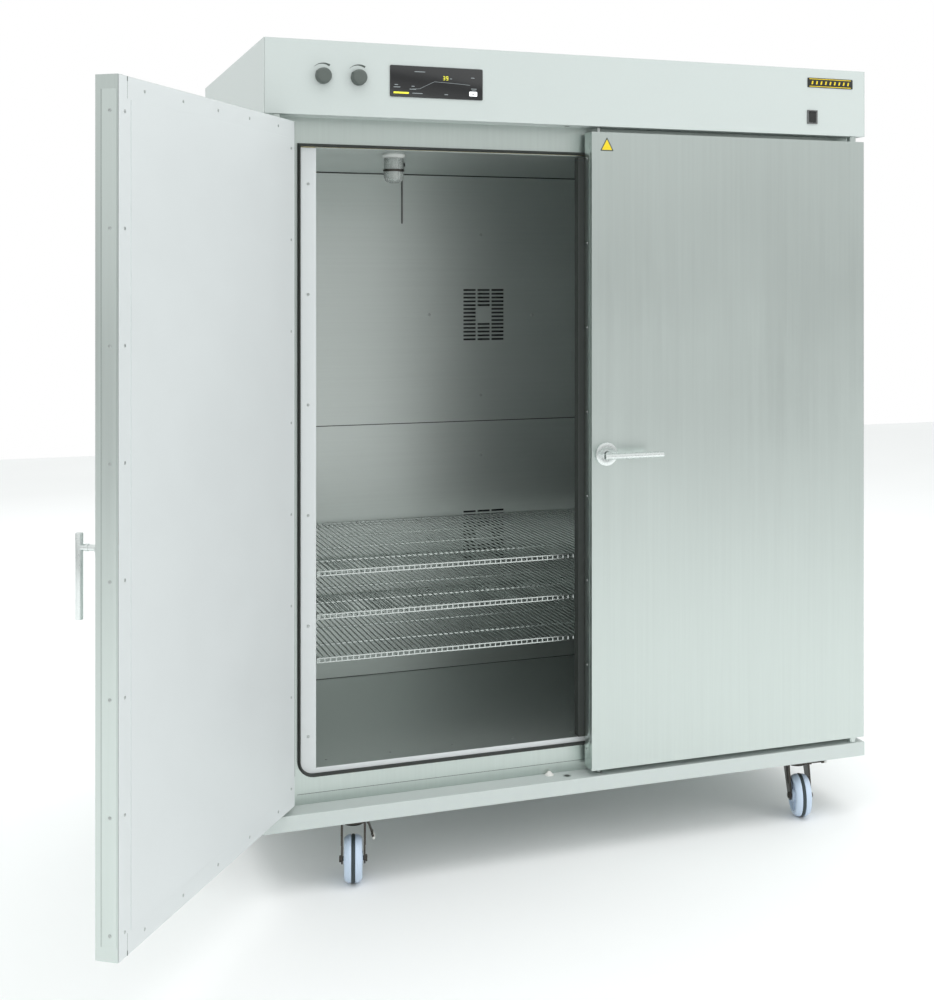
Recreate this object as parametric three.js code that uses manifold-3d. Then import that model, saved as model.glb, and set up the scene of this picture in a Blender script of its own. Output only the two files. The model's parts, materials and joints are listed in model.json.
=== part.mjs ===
// Double-door laboratory incubator on castors.
// Millimetres, +Z up. The origin is the centre of the base frame's underside; the doors face -Y.
// The left door (at -X) stands open, the right door is shut.
import * as THREE from 'three';
import { mergeVertices } from 'three/addons/utils/BufferGeometryUtils.js';
import Module from 'manifold-3d';

const wasm = await Module();
wasm.setup();

// ---- driving dimensions -------------------------------------------------------------------------
const WIDTH = 1470;
const DEPTH = 860;
const HEIGHT = 1670;
const SHEET = 1.5;
const GAP = 0.3;
const HOLE_PLAY = 0.3;
const ROUND_SIDES = 14;

const BASE_HEIGHT = 33;
const BASE_SHEET = 3;
const BASE_RIB_HALF = 30;
const FASCIA_BOTTOM = 1511;
const FRONT_SETBACK = 56;

const CHAMBER_HALF = 612;
const CHAMBER_BOTTOM = 109;
const CHAMBER_TOP = 1446;
const BACK_PANEL_Y = 295;
const PLENUM_DEPTH = 60;
const PANEL_SEAM_Z = 776;
const INSULATION_TOP = 1530;

const DOOR_BOTTOM = 46;
const DOOR_TOP = 1498;
const DOOR_MEETING_EDGE = 10.5;
const DOOR_HINGE_EDGE = 733;
const DOOR_TRAY_DEPTH = 41.5;
const DOOR_RAISED_PANEL = 1.5;
const DOOR_EDGE_CHANNEL = 60;
const PIVOT_X = 706;
const PIVOT_BEHIND_FRONT = 13;
const PIVOT_RADIUS = 5;
const LEFT_DOOR_OPEN_DEG = 124.6;

const SPINDLE_X = 45;
const LEFT_SPINDLE_Z = 715;
const RIGHT_SPINDLE_Z = 765;
const HANDLE_RADIUS = 6.5;
const HANDLE_STANDOFF = 50;
const HANDLE_SHORT_END = 24;
const HANDLE_LONG_END = 121;
const ROSETTE_RADIUS = 27;
const ROSETTE_THICKNESS = 7;
const ROD_RADIUS = 5;
const ROD_X = 39;
const ROD_BEHIND_FRONT = 28;
const ROD_TRAVEL = 9.6;
const ROD_SHOWS_WHEN_DRAWN = 3;

const OPENING_HALF = 653;
const OPENING_BOTTOM = 91;
const OPENING_TOP = 1455;
const SEAL_WIDTH = 7;
const SEAL_CORNER = 35;

const GRILLE_CENTRES_Z = [1066.5, 461.5];
const GRILLE_COLUMNS = 3;
const GRILLE_ROWS = 14;
const SLOT_WIDTH = 35.5;
const SLOT_HEIGHT = 5.2;
const SLOT_PITCH_X = 40.5;
const SLOT_PITCH_Z = 10.35;
const BLANK_ROWS = [5, 8];

const IMPELLER_RADIUS = 75;
const IMPELLER_BLADES = 8;
const FAN_SHAFT_RADIUS = 5;
const MOTOR_RADIUS = 44;
const HEATER_RADIUS = 4.2;

const SHELF_TOPS_Z = [521, 426, 330];
const SHELF_HALF_WIDTH = 598;
const SHELF_FRONT_Y = -316;
const SHELF_BACK_Y = 289;
const SHELF_THICKNESS = 3;
const SHELF_EDGE = 5;
const SHELF_WIRE = 4;
const SHELF_SLOT_COLUMNS = 46;
const SHELF_SLOT_ROWS = 2;
const SHELF_RAIL_DROP = 8;
const SHELF_APRON_DROP = 13;
const RACK_POSTS_Y = [-250, 210];
const RACK_POST_HALF = 12;
const RACK_DEPTH = 4.7;
const RACK_BOTTOM = 130;
const RACK_TOP = 1400;

const KNOB_RADIUS = 17.5;
const KNOB_HEIGHT = 17;
const KNOB_SHAFT_RADIUS = 4;
const KNOB_POINTER_DEG = -58;
const KNOBS_X = [-609, -532];
const KNOBS_Z = 1594;
const DISPLAY = { left: -463, right: -252, bottom: 1557, top: 1625, proud: 2 };
const DISPLAY_WINDOW_INSET = 5;
const DISPLAY_MODULE_INSET = 7;
const DISPLAY_MODULE_DEPTH = 26;
const NAMEPLATE = { left: 574, right: 700, bottom: 1625, top: 1648, proud: 1.3 };
const SWITCH_X = 587;
const SWITCH_Z = 1553.5;
const SWITCH_FLANGE = { halfWidth: 14, halfHeight: 16.5, proud: 2.5 };
const SWITCH_TUBE = { halfWidth: 10.7, halfHeight: 14.1, depth: 12 };
const SWITCH_BORE = { halfWidth: 9.7, halfHeight: 13.3 };
const ROCKER_TILT_DEG = 8;

const LAMP_X = -414;
const LAMP_Y = -283;
const LAMP_LENGTH = 66;
const LAMP_RADIUS = 22;
const PROBE_X = -330;
const PROBE_Y = -54;
const PROBE_LENGTH = 148;
const PROBE_RADIUS = 2.5;

const CASTOR_LEFT_X = -525;
const CASTOR_RIGHT_X = 588;
const CASTOR_Y = 355;
const CASTOR_HEIGHT = 140;
const CASTOR_TRAIL = 38;
const WHEEL_RADIUS = 50;
const WHEEL_HALF_WIDTH = 21;
const AXLE_RADIUS = 5;
const CASTOR_PLATE = { halfWidth: 48, halfDepth: 42, thickness: 4 };
const SWIVEL_HEAD = { radius: 27, height: 10 };
const FORK_PLATE = 4;
const FORK_FRONT = -30;
const FORK_BACK = 26;
const FORK_CROWN = 5;
const PEDAL_LENGTH = 40;

// ---- derived planes -----------------------------------------------------------------------------
const HALF_WIDTH = WIDTH / 2;
const FRONT_Y = -DEPTH / 2;
const REAR_Y = DEPTH / 2;
const BODY_FRONT_Y = FRONT_Y + FRONT_SETBACK;
const LINER_BACK_Y = BACK_PANEL_Y + PLENUM_DEPTH;
const DOOR_TRAY_BACK_Y = FRONT_Y + DOOR_TRAY_DEPTH;
const DOOR_PANEL_Y = DOOR_TRAY_BACK_Y + GAP + SHEET + DOOR_RAISED_PANEL;
const PIVOT_Y = FRONT_Y + PIVOT_BEHIND_FRONT;
const ROD_Y = FRONT_Y + ROD_BEHIND_FRONT;

// ---- materials ----------------------------------------------------------------------------------
const finish = (color, metalness, roughness) =>
  new THREE.MeshStandardMaterial({ color, metalness, roughness });
const PAINTED = finish(0xdfe5e6, 0.2, 0.45);
const BRUSHED = finish(0xb9c4c0, 0.9, 0.38);
const POLISHED = finish(0xe2e6e8, 0.9, 0.2);
const CHAMBER_STEEL = finish(0x9aa3a0, 0.9, 0.35);
const SEAL_RUBBER = finish(0x3c413d, 0, 0.8);
const WOOL = finish(0xd8cf9c, 0, 1);
const DARK_PLASTIC = finish(0x3a403c, 0, 0.45);
const SCREEN_GLASS = finish(0x0a0c0c, 0, 0.08);
const DARK_METAL = finish(0x2a2622, 0.8, 0.4);
const WHEEL_PLASTIC = finish(0xc8d8ec, 0, 0.35);
const LAMP_GLASS = finish(0xcfd8d6, 0, 0.15);

// ---- geometry helpers ---------------------------------------------------------------------------
function block(x0, x1, y0, y1, z0, z1) {
  const size = [Math.abs(x1 - x0), Math.abs(y1 - y0), Math.abs(z1 - z0)];
  const geometry = new THREE.BoxGeometry(...size);
  return geometry.translate((x0 + x1) / 2, (y0 + y1) / 2, (z0 + z1) / 2);
}

// A round bar from one end to the other along X, Y or Z.
function bar(axis, radius, from, to, a, b, sides = ROUND_SIDES) {
  const geometry = new THREE.CylinderGeometry(radius, radius, Math.abs(to - from), sides);
  const middle = (from + to) / 2;
  if (axis === 'x') return geometry.rotateZ(Math.PI / 2).translate(middle, a, b);
  if (axis === 'y') return geometry.translate(a, middle, b);
  return geometry.rotateX(Math.PI / 2).translate(a, b, middle);
}

// An outline in the XZ plane, thickened along Y.
function plateXZ(shape, y0, y1) {
  const settings = { depth: y1 - y0, bevelEnabled: false, curveSegments: 6 };
  const geometry = new THREE.ExtrudeGeometry(shape, settings);
  return geometry.rotateX(Math.PI / 2).translate(0, y1, 0);
}

// An outline in the YZ plane, thickened along X.
function plateYZ(shape, x0, x1) {
  const geometry = new THREE.ExtrudeGeometry(shape, { depth: x1 - x0, bevelEnabled: false });
  return geometry.rotateX(Math.PI / 2).rotateZ(Math.PI / 2).translate(x0, 0, 0);
}

function outline(points) {
  return new THREE.Shape(points.map(([x, y]) => new THREE.Vector2(x, y)));
}

// A rectangle whose two lower corners are rounded.
function cupOutline(half, bottom, top, corner) {
  const path = new THREE.Shape();
  path.moveTo(-half, top);
  path.lineTo(-half, bottom + corner);
  path.absarc(-half + corner, bottom + corner, corner, Math.PI, 1.5 * Math.PI, false);
  path.lineTo(half - corner, bottom);
  path.absarc(half - corner, bottom + corner, corner, 1.5 * Math.PI, 2 * Math.PI, false);
  path.lineTo(half, top);
  path.closePath();
  return path;
}

function toSolid(geometry) {
  const bare = geometry.clone();
  bare.deleteAttribute('normal');
  bare.deleteAttribute('uv');
  const merged = mergeVertices(bare);
  return new wasm.Manifold(new wasm.Mesh({
    numProp: 3,
    vertProperties: new Float32Array(merged.attributes.position.array),
    triVerts: new Uint32Array(merged.index.array),
  }));
}

function toGeometry(solid) {
  const mesh = solid.getMesh();
  const geometry = new THREE.BufferGeometry();
  geometry.setAttribute('position', new THREE.BufferAttribute(mesh.vertProperties, 3));
  geometry.setIndex(new THREE.BufferAttribute(mesh.triVerts, 1));
  return geometry;
}

function join(...geometries) {
  return toGeometry(geometries.map(toSolid).reduce((whole, next) => whole.add(next)));
}

function cut(geometry, ...tools) {
  return toGeometry(tools.map(toSolid).reduce((left, tool) => left.subtract(tool), toSolid(geometry)));
}

const incubator = new THREE.Group();

function piece(name, geometry, material, parent = incubator) {
  const mesh = new THREE.Mesh(geometry, material);
  mesh.name = name;
  parent.add(mesh);
  return mesh;
}

// ---- base frame ---------------------------------------------------------------------------------
function baseFrame() {
  const deck = block(-HALF_WIDTH, HALF_WIDTH, FRONT_Y, REAR_Y, 0, BASE_HEIGHT);
  const pocketTop = BASE_HEIGHT - BASE_SHEET;
  const railHalf = 50;
  const inner = HALF_WIDTH - BASE_SHEET;
  const pockets = [];
  for (const side of [-1, 1]) {
    const near = side * BASE_RIB_HALF;
    const bays = [
      [FRONT_Y + BASE_SHEET, -CASTOR_Y - railHalf + GAP],
      [-CASTOR_Y + railHalf, CASTOR_Y - railHalf],
      [CASTOR_Y + railHalf - GAP, REAR_Y - BASE_SHEET],
    ];
    for (const [y0, y1] of bays) pockets.push(block(near, side * inner, y0, y1, -1, pocketTop));
    // The cross rails that carry the castors are channels, open towards the middle of the base.
    for (const end of [-1, 1]) {
      const y = end * CASTOR_Y;
      const wall = railHalf - BASE_SHEET;
      const padEdge = side < 0 ? CASTOR_LEFT_X + railHalf : CASTOR_RIGHT_X - railHalf;
      pockets.push(block(near + side, padEdge, y - wall, y + wall, -1, pocketTop));
      pockets.push(block(near + side, side * inner, y - wall, y + wall, BASE_SHEET, pocketTop));
    }
  }
  for (const side of [-1, 1]) {
    const hole = PIVOT_RADIUS + HOLE_PLAY;
    pockets.push(bar('z', hole, pocketTop - 1, BASE_HEIGHT + 1, side * PIVOT_X, PIVOT_Y));
  }
  piece('base_frame', cut(deck, ...pockets), PAINTED);
}

// ---- outer housing ------------------------------------------------------------------------------
function outerHousing() {
  const floorZ = BASE_HEIGHT + GAP;
  const rear = REAR_Y - SHEET - GAP;
  const side = outline([
    [BODY_FRONT_Y, floorZ], [rear, floorZ], [rear, HEIGHT], [FRONT_Y, HEIGHT],
    [FRONT_Y, FASCIA_BOTTOM], [BODY_FRONT_Y, FASCIA_BOTTOM],
  ]);
  piece('side_panel_left', plateYZ(side, -HALF_WIDTH, -HALF_WIDTH + SHEET), PAINTED);
  piece('side_panel_right', plateYZ(side, HALF_WIDTH - SHEET, HALF_WIDTH), PAINTED);
  const inner = HALF_WIDTH - SHEET - GAP;
  const topFront = FRONT_Y + SHEET + GAP;
  piece('top_panel', block(-inner, inner, topFront, rear, HEIGHT - SHEET, HEIGHT), PAINTED);
  piece('rear_panel', block(-HALF_WIDTH, HALF_WIDTH, REAR_Y - SHEET, REAR_Y, floorZ, HEIGHT), PAINTED);
}

// ---- front face frame, opening trim and seal ----------------------------------------------------
function faceFrame() {
  const inner = HALF_WIDTH - SHEET - GAP;
  const plate = block(
    -inner, inner, BODY_FRONT_Y, BODY_FRONT_Y + SHEET, BASE_HEIGHT + GAP, INSULATION_TOP,
  );
  const mouth = cupOutline(
    OPENING_HALF - SEAL_WIDTH + GAP, OPENING_BOTTOM + SEAL_WIDTH - GAP,
    OPENING_TOP - SEAL_WIDTH + GAP, SEAL_CORNER - SEAL_WIDTH,
  );
  const mouthCutter = plateXZ(mouth, BODY_FRONT_Y - 1, BODY_FRONT_Y + SHEET + 1);
  piece('front_frame', cut(plate, mouthCutter), BRUSHED);

  const sealFront = DOOR_PANEL_Y + GAP;
  const sealBack = BODY_FRONT_Y - GAP;
  const sealOuter = cupOutline(OPENING_HALF, OPENING_BOTTOM, OPENING_TOP, SEAL_CORNER);
  const sealInner = cupOutline(
    OPENING_HALF - SEAL_WIDTH, OPENING_BOTTOM + SEAL_WIDTH,
    OPENING_TOP - SEAL_WIDTH, SEAL_CORNER - SEAL_WIDTH,
  );
  const seal = cut(plateXZ(sealOuter, sealFront, sealBack), plateXZ(sealInner, sealFront - 1, sealBack + 1));
  piece('door_seal', seal, SEAL_RUBBER);

  // The liner's turned-out lip: wide at both sides, narrow below, none above.
  const lipOutline = cupOutline(
    OPENING_HALF - SEAL_WIDTH, OPENING_BOTTOM + SEAL_WIDTH, CHAMBER_TOP, SEAL_CORNER - SEAL_WIDTH,
  );
  const chamberMouth = block(
    -CHAMBER_HALF, CHAMBER_HALF, BODY_FRONT_Y - 1, BODY_FRONT_Y + SHEET + 1,
    CHAMBER_BOTTOM, CHAMBER_TOP + 1,
  );
  const lip = cut(plateXZ(lipOutline, BODY_FRONT_Y, BODY_FRONT_Y + SHEET), chamberMouth);
  piece('opening_trim', lip, POLISHED);
}

// ---- chamber liner, back panels and insulation --------------------------------------------------
function chamber() {
  const lipBack = BODY_FRONT_Y + SHEET + GAP;
  const shell = block(
    -CHAMBER_HALF - SHEET, CHAMBER_HALF + SHEET, lipBack, LINER_BACK_Y + SHEET,
    CHAMBER_BOTTOM - SHEET, CHAMBER_TOP + SHEET,
  );
  const hollow = block(
    -CHAMBER_HALF, CHAMBER_HALF, lipBack - 1, LINER_BACK_Y, CHAMBER_BOTTOM, CHAMBER_TOP,
  );
  const shaftHoles = GRILLE_CENTRES_Z.map((z) =>
    bar('y', FAN_SHAFT_RADIUS + 2, LINER_BACK_Y - 1, LINER_BACK_Y + SHEET + 1, 0, z));
  piece('chamber_liner', cut(shell, hollow, ...shaftHoles), CHAMBER_STEEL);

  const panelHalf = CHAMBER_HALF - GAP;
  const panels = [
    ['back_panel_upper', PANEL_SEAM_Z + GAP, CHAMBER_TOP - GAP, GRILLE_CENTRES_Z[0]],
    ['back_panel_lower', CHAMBER_BOTTOM + GAP, PANEL_SEAM_Z - GAP, GRILLE_CENTRES_Z[1]],
  ];
  for (const [name, bottom, top, grilleZ] of panels) {
    const sheet = block(-panelHalf, panelHalf, BACK_PANEL_Y, BACK_PANEL_Y + SHEET, bottom, top);
    piece(name, cut(sheet, ...grilleSlots(grilleZ)), CHAMBER_STEEL);
  }

  const clear = 0.4;
  const jacketHalf = HALF_WIDTH - SHEET - GAP;
  const jacketFront = BODY_FRONT_Y + SHEET + GAP;
  const jacket = block(
    -jacketHalf, jacketHalf, jacketFront, REAR_Y - SHEET - GAP, BASE_HEIGHT + GAP, INSULATION_TOP,
  );
  const linerSpace = block(
    -CHAMBER_HALF - SHEET - clear, CHAMBER_HALF + SHEET + clear,
    jacketFront - 1, LINER_BACK_Y + SHEET + clear,
    CHAMBER_BOTTOM - SHEET - clear, CHAMBER_TOP + SHEET + clear,
  );
  const motorWells = GRILLE_CENTRES_Z.map((z) =>
    bar('y', MOTOR_RADIUS + 2, LINER_BACK_Y, REAR_Y + 1, 0, z));
  piece('insulation_jacket', cut(jacket, linerSpace, ...motorWells), WOOL);
}

// Three columns of narrow slots; the middle column is left blank in front of the fan's hub.
function grilleSlots(centreZ) {
  const slots = [];
  for (let column = 0; column < GRILLE_COLUMNS; column += 1) {
    for (let row = 0; row < GRILLE_ROWS; row += 1) {
      const middleColumn = column === (GRILLE_COLUMNS - 1) / 2;
      if (middleColumn && row >= BLANK_ROWS[0] && row <= BLANK_ROWS[1]) continue;
      const x = (column - (GRILLE_COLUMNS - 1) / 2) * SLOT_PITCH_X;
      const z = centreZ + ((GRILLE_ROWS - 1) / 2 - row) * SLOT_PITCH_Z;
      slots.push(block(
        x - SLOT_WIDTH / 2, x + SLOT_WIDTH / 2, BACK_PANEL_Y - 1, BACK_PANEL_Y + SHEET + 1,
        z - SLOT_HEIGHT / 2, z + SLOT_HEIGHT / 2,
      ));
    }
  }
  return slots;
}

// ---- circulation fans and heater ----------------------------------------------------------------
function fans() {
  const wheelFront = BACK_PANEL_Y + 10;
  const wheelBack = wheelFront + 28;
  const hubRadius = 14;
  GRILLE_CENTRES_Z.forEach((z, index) => {
    const level = ['upper', 'lower'][index];
    const parts = [
      bar('y', IMPELLER_RADIUS, wheelBack - 2, wheelBack, 0, z, 20),
      bar('y', hubRadius, wheelFront, wheelBack, 0, z),
    ];
    for (let blade = 0; blade < IMPELLER_BLADES; blade += 1) {
      const angle = (blade / IMPELLER_BLADES) * 2 * Math.PI;
      const vane = block(hubRadius - 2, IMPELLER_RADIUS - 2, wheelFront, wheelBack - 1, -1, 1);
      parts.push(vane.rotateY(angle).translate(0, 0, z));
    }
    const shaftSpace = bar('y', FAN_SHAFT_RADIUS + HOLE_PLAY, wheelFront - 1, wheelBack + 1, 0, z);
    piece(`fan_impeller_${level}`, cut(join(...parts), shaftSpace), BRUSHED);

    const motorFront = LINER_BACK_Y + SHEET + 3;
    const motor = join(
      bar('y', MOTOR_RADIUS, motorFront, motorFront + 55, 0, z),
      bar('y', FAN_SHAFT_RADIUS, wheelFront + 2, motorFront + 1, 0, z),
    );
    piece(`fan_motor_${level}`, motor, DARK_METAL);
  });

  // One long tubular heater loop runs round both fans inside the plenum.
  const halfSpan = 115;
  const top = GRILLE_CENTRES_Z[0] + halfSpan;
  const bottom = GRILLE_CENTRES_Z[1] - halfSpan;
  const bend = 30;
  const heaterY = BACK_PANEL_Y + 46;
  const route = new THREE.CurvePath();
  const point = (x, z) => new THREE.Vector3(x, heaterY, z);
  route.add(new THREE.LineCurve3(point(-halfSpan, bottom), point(-halfSpan, top - bend)));
  route.add(new THREE.QuadraticBezierCurve3(
    point(-halfSpan, top - bend), point(-halfSpan, top), point(-halfSpan + bend, top),
  ));
  route.add(new THREE.LineCurve3(point(-halfSpan + bend, top), point(halfSpan - bend, top)));
  route.add(new THREE.QuadraticBezierCurve3(
    point(halfSpan - bend, top), point(halfSpan, top), point(halfSpan, top - bend),
  ));
  route.add(new THREE.LineCurve3(point(halfSpan, top - bend), point(halfSpan, bottom)));
  const section = new THREE.Shape();
  section.absarc(0, 0, HEATER_RADIUS, 0, 2 * Math.PI, false);
  const heater = new THREE.ExtrudeGeometry(section, { steps: 26, curveSegments: 3, extrudePath: route });
  piece('heater_element', heater, DARK_METAL);
}

// ---- lamp and temperature probe under the chamber ceiling -----------------------------------------
function ceilingFittings() {
  const ceiling = CHAMBER_TOP - GAP;
  const flange = LAMP_RADIUS + 4;
  const band = LAMP_RADIUS + 2;
  const bandTop = -34;
  const bandBottom = -40;
  const profile = [
    [0, -LAMP_LENGTH], [LAMP_RADIUS - 8, -LAMP_LENGTH], [LAMP_RADIUS - 2, 5 - LAMP_LENGTH],
    [LAMP_RADIUS, 11 - LAMP_LENGTH], [LAMP_RADIUS, bandBottom], [band, bandBottom + 1],
    [band, bandTop - 1], [LAMP_RADIUS, bandTop], [LAMP_RADIUS, -12], [flange, -11], [flange, 0], [0, 0],
  ];
  const lathe = new THREE.LatheGeometry(profile.map(([r, z]) => new THREE.Vector2(r, z)), 12);
  piece('chamber_lamp', lathe.rotateX(Math.PI / 2).translate(LAMP_X, LAMP_Y, ceiling), LAMP_GLASS);

  const nutRadius = 8;
  const probe = join(
    bar('z', PROBE_RADIUS, ceiling - PROBE_LENGTH, ceiling - 1, PROBE_X, PROBE_Y, 12),
    bar('z', nutRadius, ceiling - nutRadius, ceiling, PROBE_X, PROBE_Y, 12),
  );
  piece('temperature_probe', probe, DARK_METAL);
}

// ---- shelf racks and wire shelves -----------------------------------------------------------------
function shelving() {
  for (const [name, side] of [['shelf_rack_left', -1], ['shelf_rack_right', 1]]) {
    const wall = side * (CHAMBER_HALF - GAP);
    const face = wall - side * RACK_DEPTH;
    const inner = side * (SHELF_HALF_WIDTH - 14);
    const [front, back] = [SHELF_FRONT_Y + 16, SHELF_BACK_Y - 9];
    const parts = RACK_POSTS_Y.map((y) =>
      block(wall, face, y - RACK_POST_HALF, y + RACK_POST_HALF, RACK_BOTTOM, RACK_TOP));
    // An angle under each shelf: a flat rest and the upright leg that joins it to the posts.
    for (const top of SHELF_TOPS_Z) {
      const rest = top - SHELF_RAIL_DROP - GAP;
      parts.push(block(face + side, inner, front, back, rest - 2, rest));
      parts.push(block(face + side, face - side * 3, front, back, rest - 14, rest - 1));
    }
    piece(name, join(...parts), CHAMBER_STEEL);
  }

  const half = SHELF_HALF_WIDTH;
  const [front, back] = [SHELF_FRONT_Y, SHELF_BACK_Y];
  const pitchX = (2 * half - 2 * SHELF_EDGE) / SHELF_SLOT_COLUMNS;
  const pitchY = (back - front - 2 * SHELF_EDGE) / SHELF_SLOT_ROWS;
  SHELF_TOPS_Z.forEach((top, index) => {
    const under = top - SHELF_THICKNESS;
    const slots = [];
    for (let column = 0; column < SHELF_SLOT_COLUMNS; column += 1) {
      for (let row = 0; row < SHELF_SLOT_ROWS; row += 1) {
        const x0 = -half + SHELF_EDGE + column * pitchX + SHELF_WIRE / 2;
        const y0 = front + SHELF_EDGE + row * pitchY + SHELF_WIRE / 2;
        slots.push(block(
          x0, x0 + pitchX - SHELF_WIRE, y0, y0 + pitchY - SHELF_WIRE, under - 1, top + 1,
        ));
      }
    }
    const grid = cut(block(-half, half, front, back, under, top), ...slots);
    const rails = [-1, 1].map((side) => block(
      side * half, side * (half - SHELF_EDGE), front, back, top - SHELF_RAIL_DROP, top - 1,
    ));
    const apron = block(-half, half, front, front + SHELF_WIRE, top - SHELF_APRON_DROP, top - 1);
    piece(`wire_shelf_${index + 1}`, join(grid, ...rails, apron), POLISHED);
  });
}

// ---- control fascia -------------------------------------------------------------------------------
function controls() {
  const inner = HALF_WIDTH - SHEET - GAP;
  const returnBack = BODY_FRONT_Y - GAP;
  const [throughFront, throughBack] = [FRONT_Y - 1, FRONT_Y + SHEET + 1];
  const front = block(-inner, inner, FRONT_Y, FRONT_Y + SHEET, FASCIA_BOTTOM, HEIGHT);
  const bottom = block(-inner, inner, FRONT_Y, returnBack, FASCIA_BOTTOM, FASCIA_BOTTOM + SHEET);
  const knobHoles = KNOBS_X.map((x) =>
    bar('y', KNOB_SHAFT_RADIUS + HOLE_PLAY, throughFront, throughBack, x, KNOBS_Z, 16));
  const pivotHoles = [-1, 1].map((side) =>
    bar('z', PIVOT_RADIUS + HOLE_PLAY, FASCIA_BOTTOM - 1, FASCIA_BOTTOM + SHEET + 1,
      side * PIVOT_X, PIVOT_Y));
  const displayWindow = block(
    DISPLAY.left + DISPLAY_WINDOW_INSET, DISPLAY.right - DISPLAY_WINDOW_INSET,
    throughFront, throughBack,
    DISPLAY.bottom + DISPLAY_WINDOW_INSET, DISPLAY.top - DISPLAY_WINDOW_INSET,
  );
  const switchHalfWidth = SWITCH_TUBE.halfWidth + GAP;
  const switchHalfHeight = SWITCH_TUBE.halfHeight + GAP;
  const switchWindow = block(
    SWITCH_X - switchHalfWidth, SWITCH_X + switchHalfWidth, throughFront, throughBack,
    SWITCH_Z - switchHalfHeight, SWITCH_Z + switchHalfHeight,
  );
  const fascia = cut(join(front, bottom), ...knobHoles, ...pivotHoles, displayWindow, switchWindow);
  piece('control_fascia', fascia, PAINTED);

  // Touch display: a glass front with its electronics module behind the window.
  piece('display_screen', join(
    block(DISPLAY.left, DISPLAY.right, FRONT_Y - DISPLAY.proud, FRONT_Y - GAP, DISPLAY.bottom, DISPLAY.top),
    block(
      DISPLAY.left + DISPLAY_MODULE_INSET, DISPLAY.right - DISPLAY_MODULE_INSET,
      FRONT_Y - 1, FRONT_Y + DISPLAY_MODULE_DEPTH,
      DISPLAY.bottom + DISPLAY_MODULE_INSET, DISPLAY.top - DISPLAY_MODULE_INSET,
    ),
  ), SCREEN_GLASS);
  piece('nameplate', block(
    NAMEPLATE.left, NAMEPLATE.right, FRONT_Y - NAMEPLATE.proud, FRONT_Y - GAP,
    NAMEPLATE.bottom, NAMEPLATE.top,
  ), DARK_PLASTIC);

  // Both air knobs rest turned to the thin end of their printed scales.
  const rim = KNOB_HEIGHT - 2 * GAP;
  const shaftEnd = KNOB_HEIGHT + 13;
  const profile = [
    [0, 0], [KNOB_RADIUS - 4, 0], [KNOB_RADIUS - 2, 1.2], [KNOB_RADIUS - 0.9, 4], [KNOB_RADIUS, rim],
    [KNOB_SHAFT_RADIUS, rim], [KNOB_SHAFT_RADIUS, shaftEnd], [0, shaftEnd],
  ];
  KNOBS_X.forEach((x, index) => {
    const turned = new THREE.LatheGeometry(profile.map(([r, y]) => new THREE.Vector2(r, y)), 14);
    const pointer = block(-1.2, 1.2, 1, 15, KNOB_RADIUS - 6, KNOB_RADIUS + 1.2);
    const knob = join(turned, pointer).rotateY(THREE.MathUtils.degToRad(KNOB_POINTER_DEG));
    piece(['air_inlet_knob', 'air_outlet_knob'][index],
      knob.translate(x, FRONT_Y - KNOB_HEIGHT, KNOBS_Z), DARK_PLASTIC);
  });

  // Mains rocker switch in its bezel. The upper half of the rocker stands out at rest.
  const framed = (size, y0, y1) => block(
    SWITCH_X - size.halfWidth, SWITCH_X + size.halfWidth, y0, y1,
    SWITCH_Z - size.halfHeight, SWITCH_Z + size.halfHeight,
  );
  const bezel = join(
    framed(SWITCH_FLANGE, FRONT_Y - SWITCH_FLANGE.proud, FRONT_Y - GAP),
    framed(SWITCH_TUBE, FRONT_Y - 1, FRONT_Y + SWITCH_TUBE.depth),
  );
  const bore = framed(SWITCH_BORE, FRONT_Y - SWITCH_FLANGE.proud - 1, FRONT_Y + SWITCH_TUBE.depth + 1);
  piece('switch_bezel', cut(bezel, bore), DARK_PLASTIC);
  const rockerHalf = SWITCH_BORE.halfWidth - 0.5;
  const rocker = outline([[6, -8], [6, 8], [-3.2, 12], [-2, 0], [-3.2, -12]]);
  const rockerSolid = plateYZ(rocker, -rockerHalf, rockerHalf)
    .rotateX(THREE.MathUtils.degToRad(ROCKER_TILT_DEG));
  piece('mains_rocker', rockerSolid.translate(SWITCH_X, FRONT_Y, SWITCH_Z), DARK_PLASTIC);
}

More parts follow.
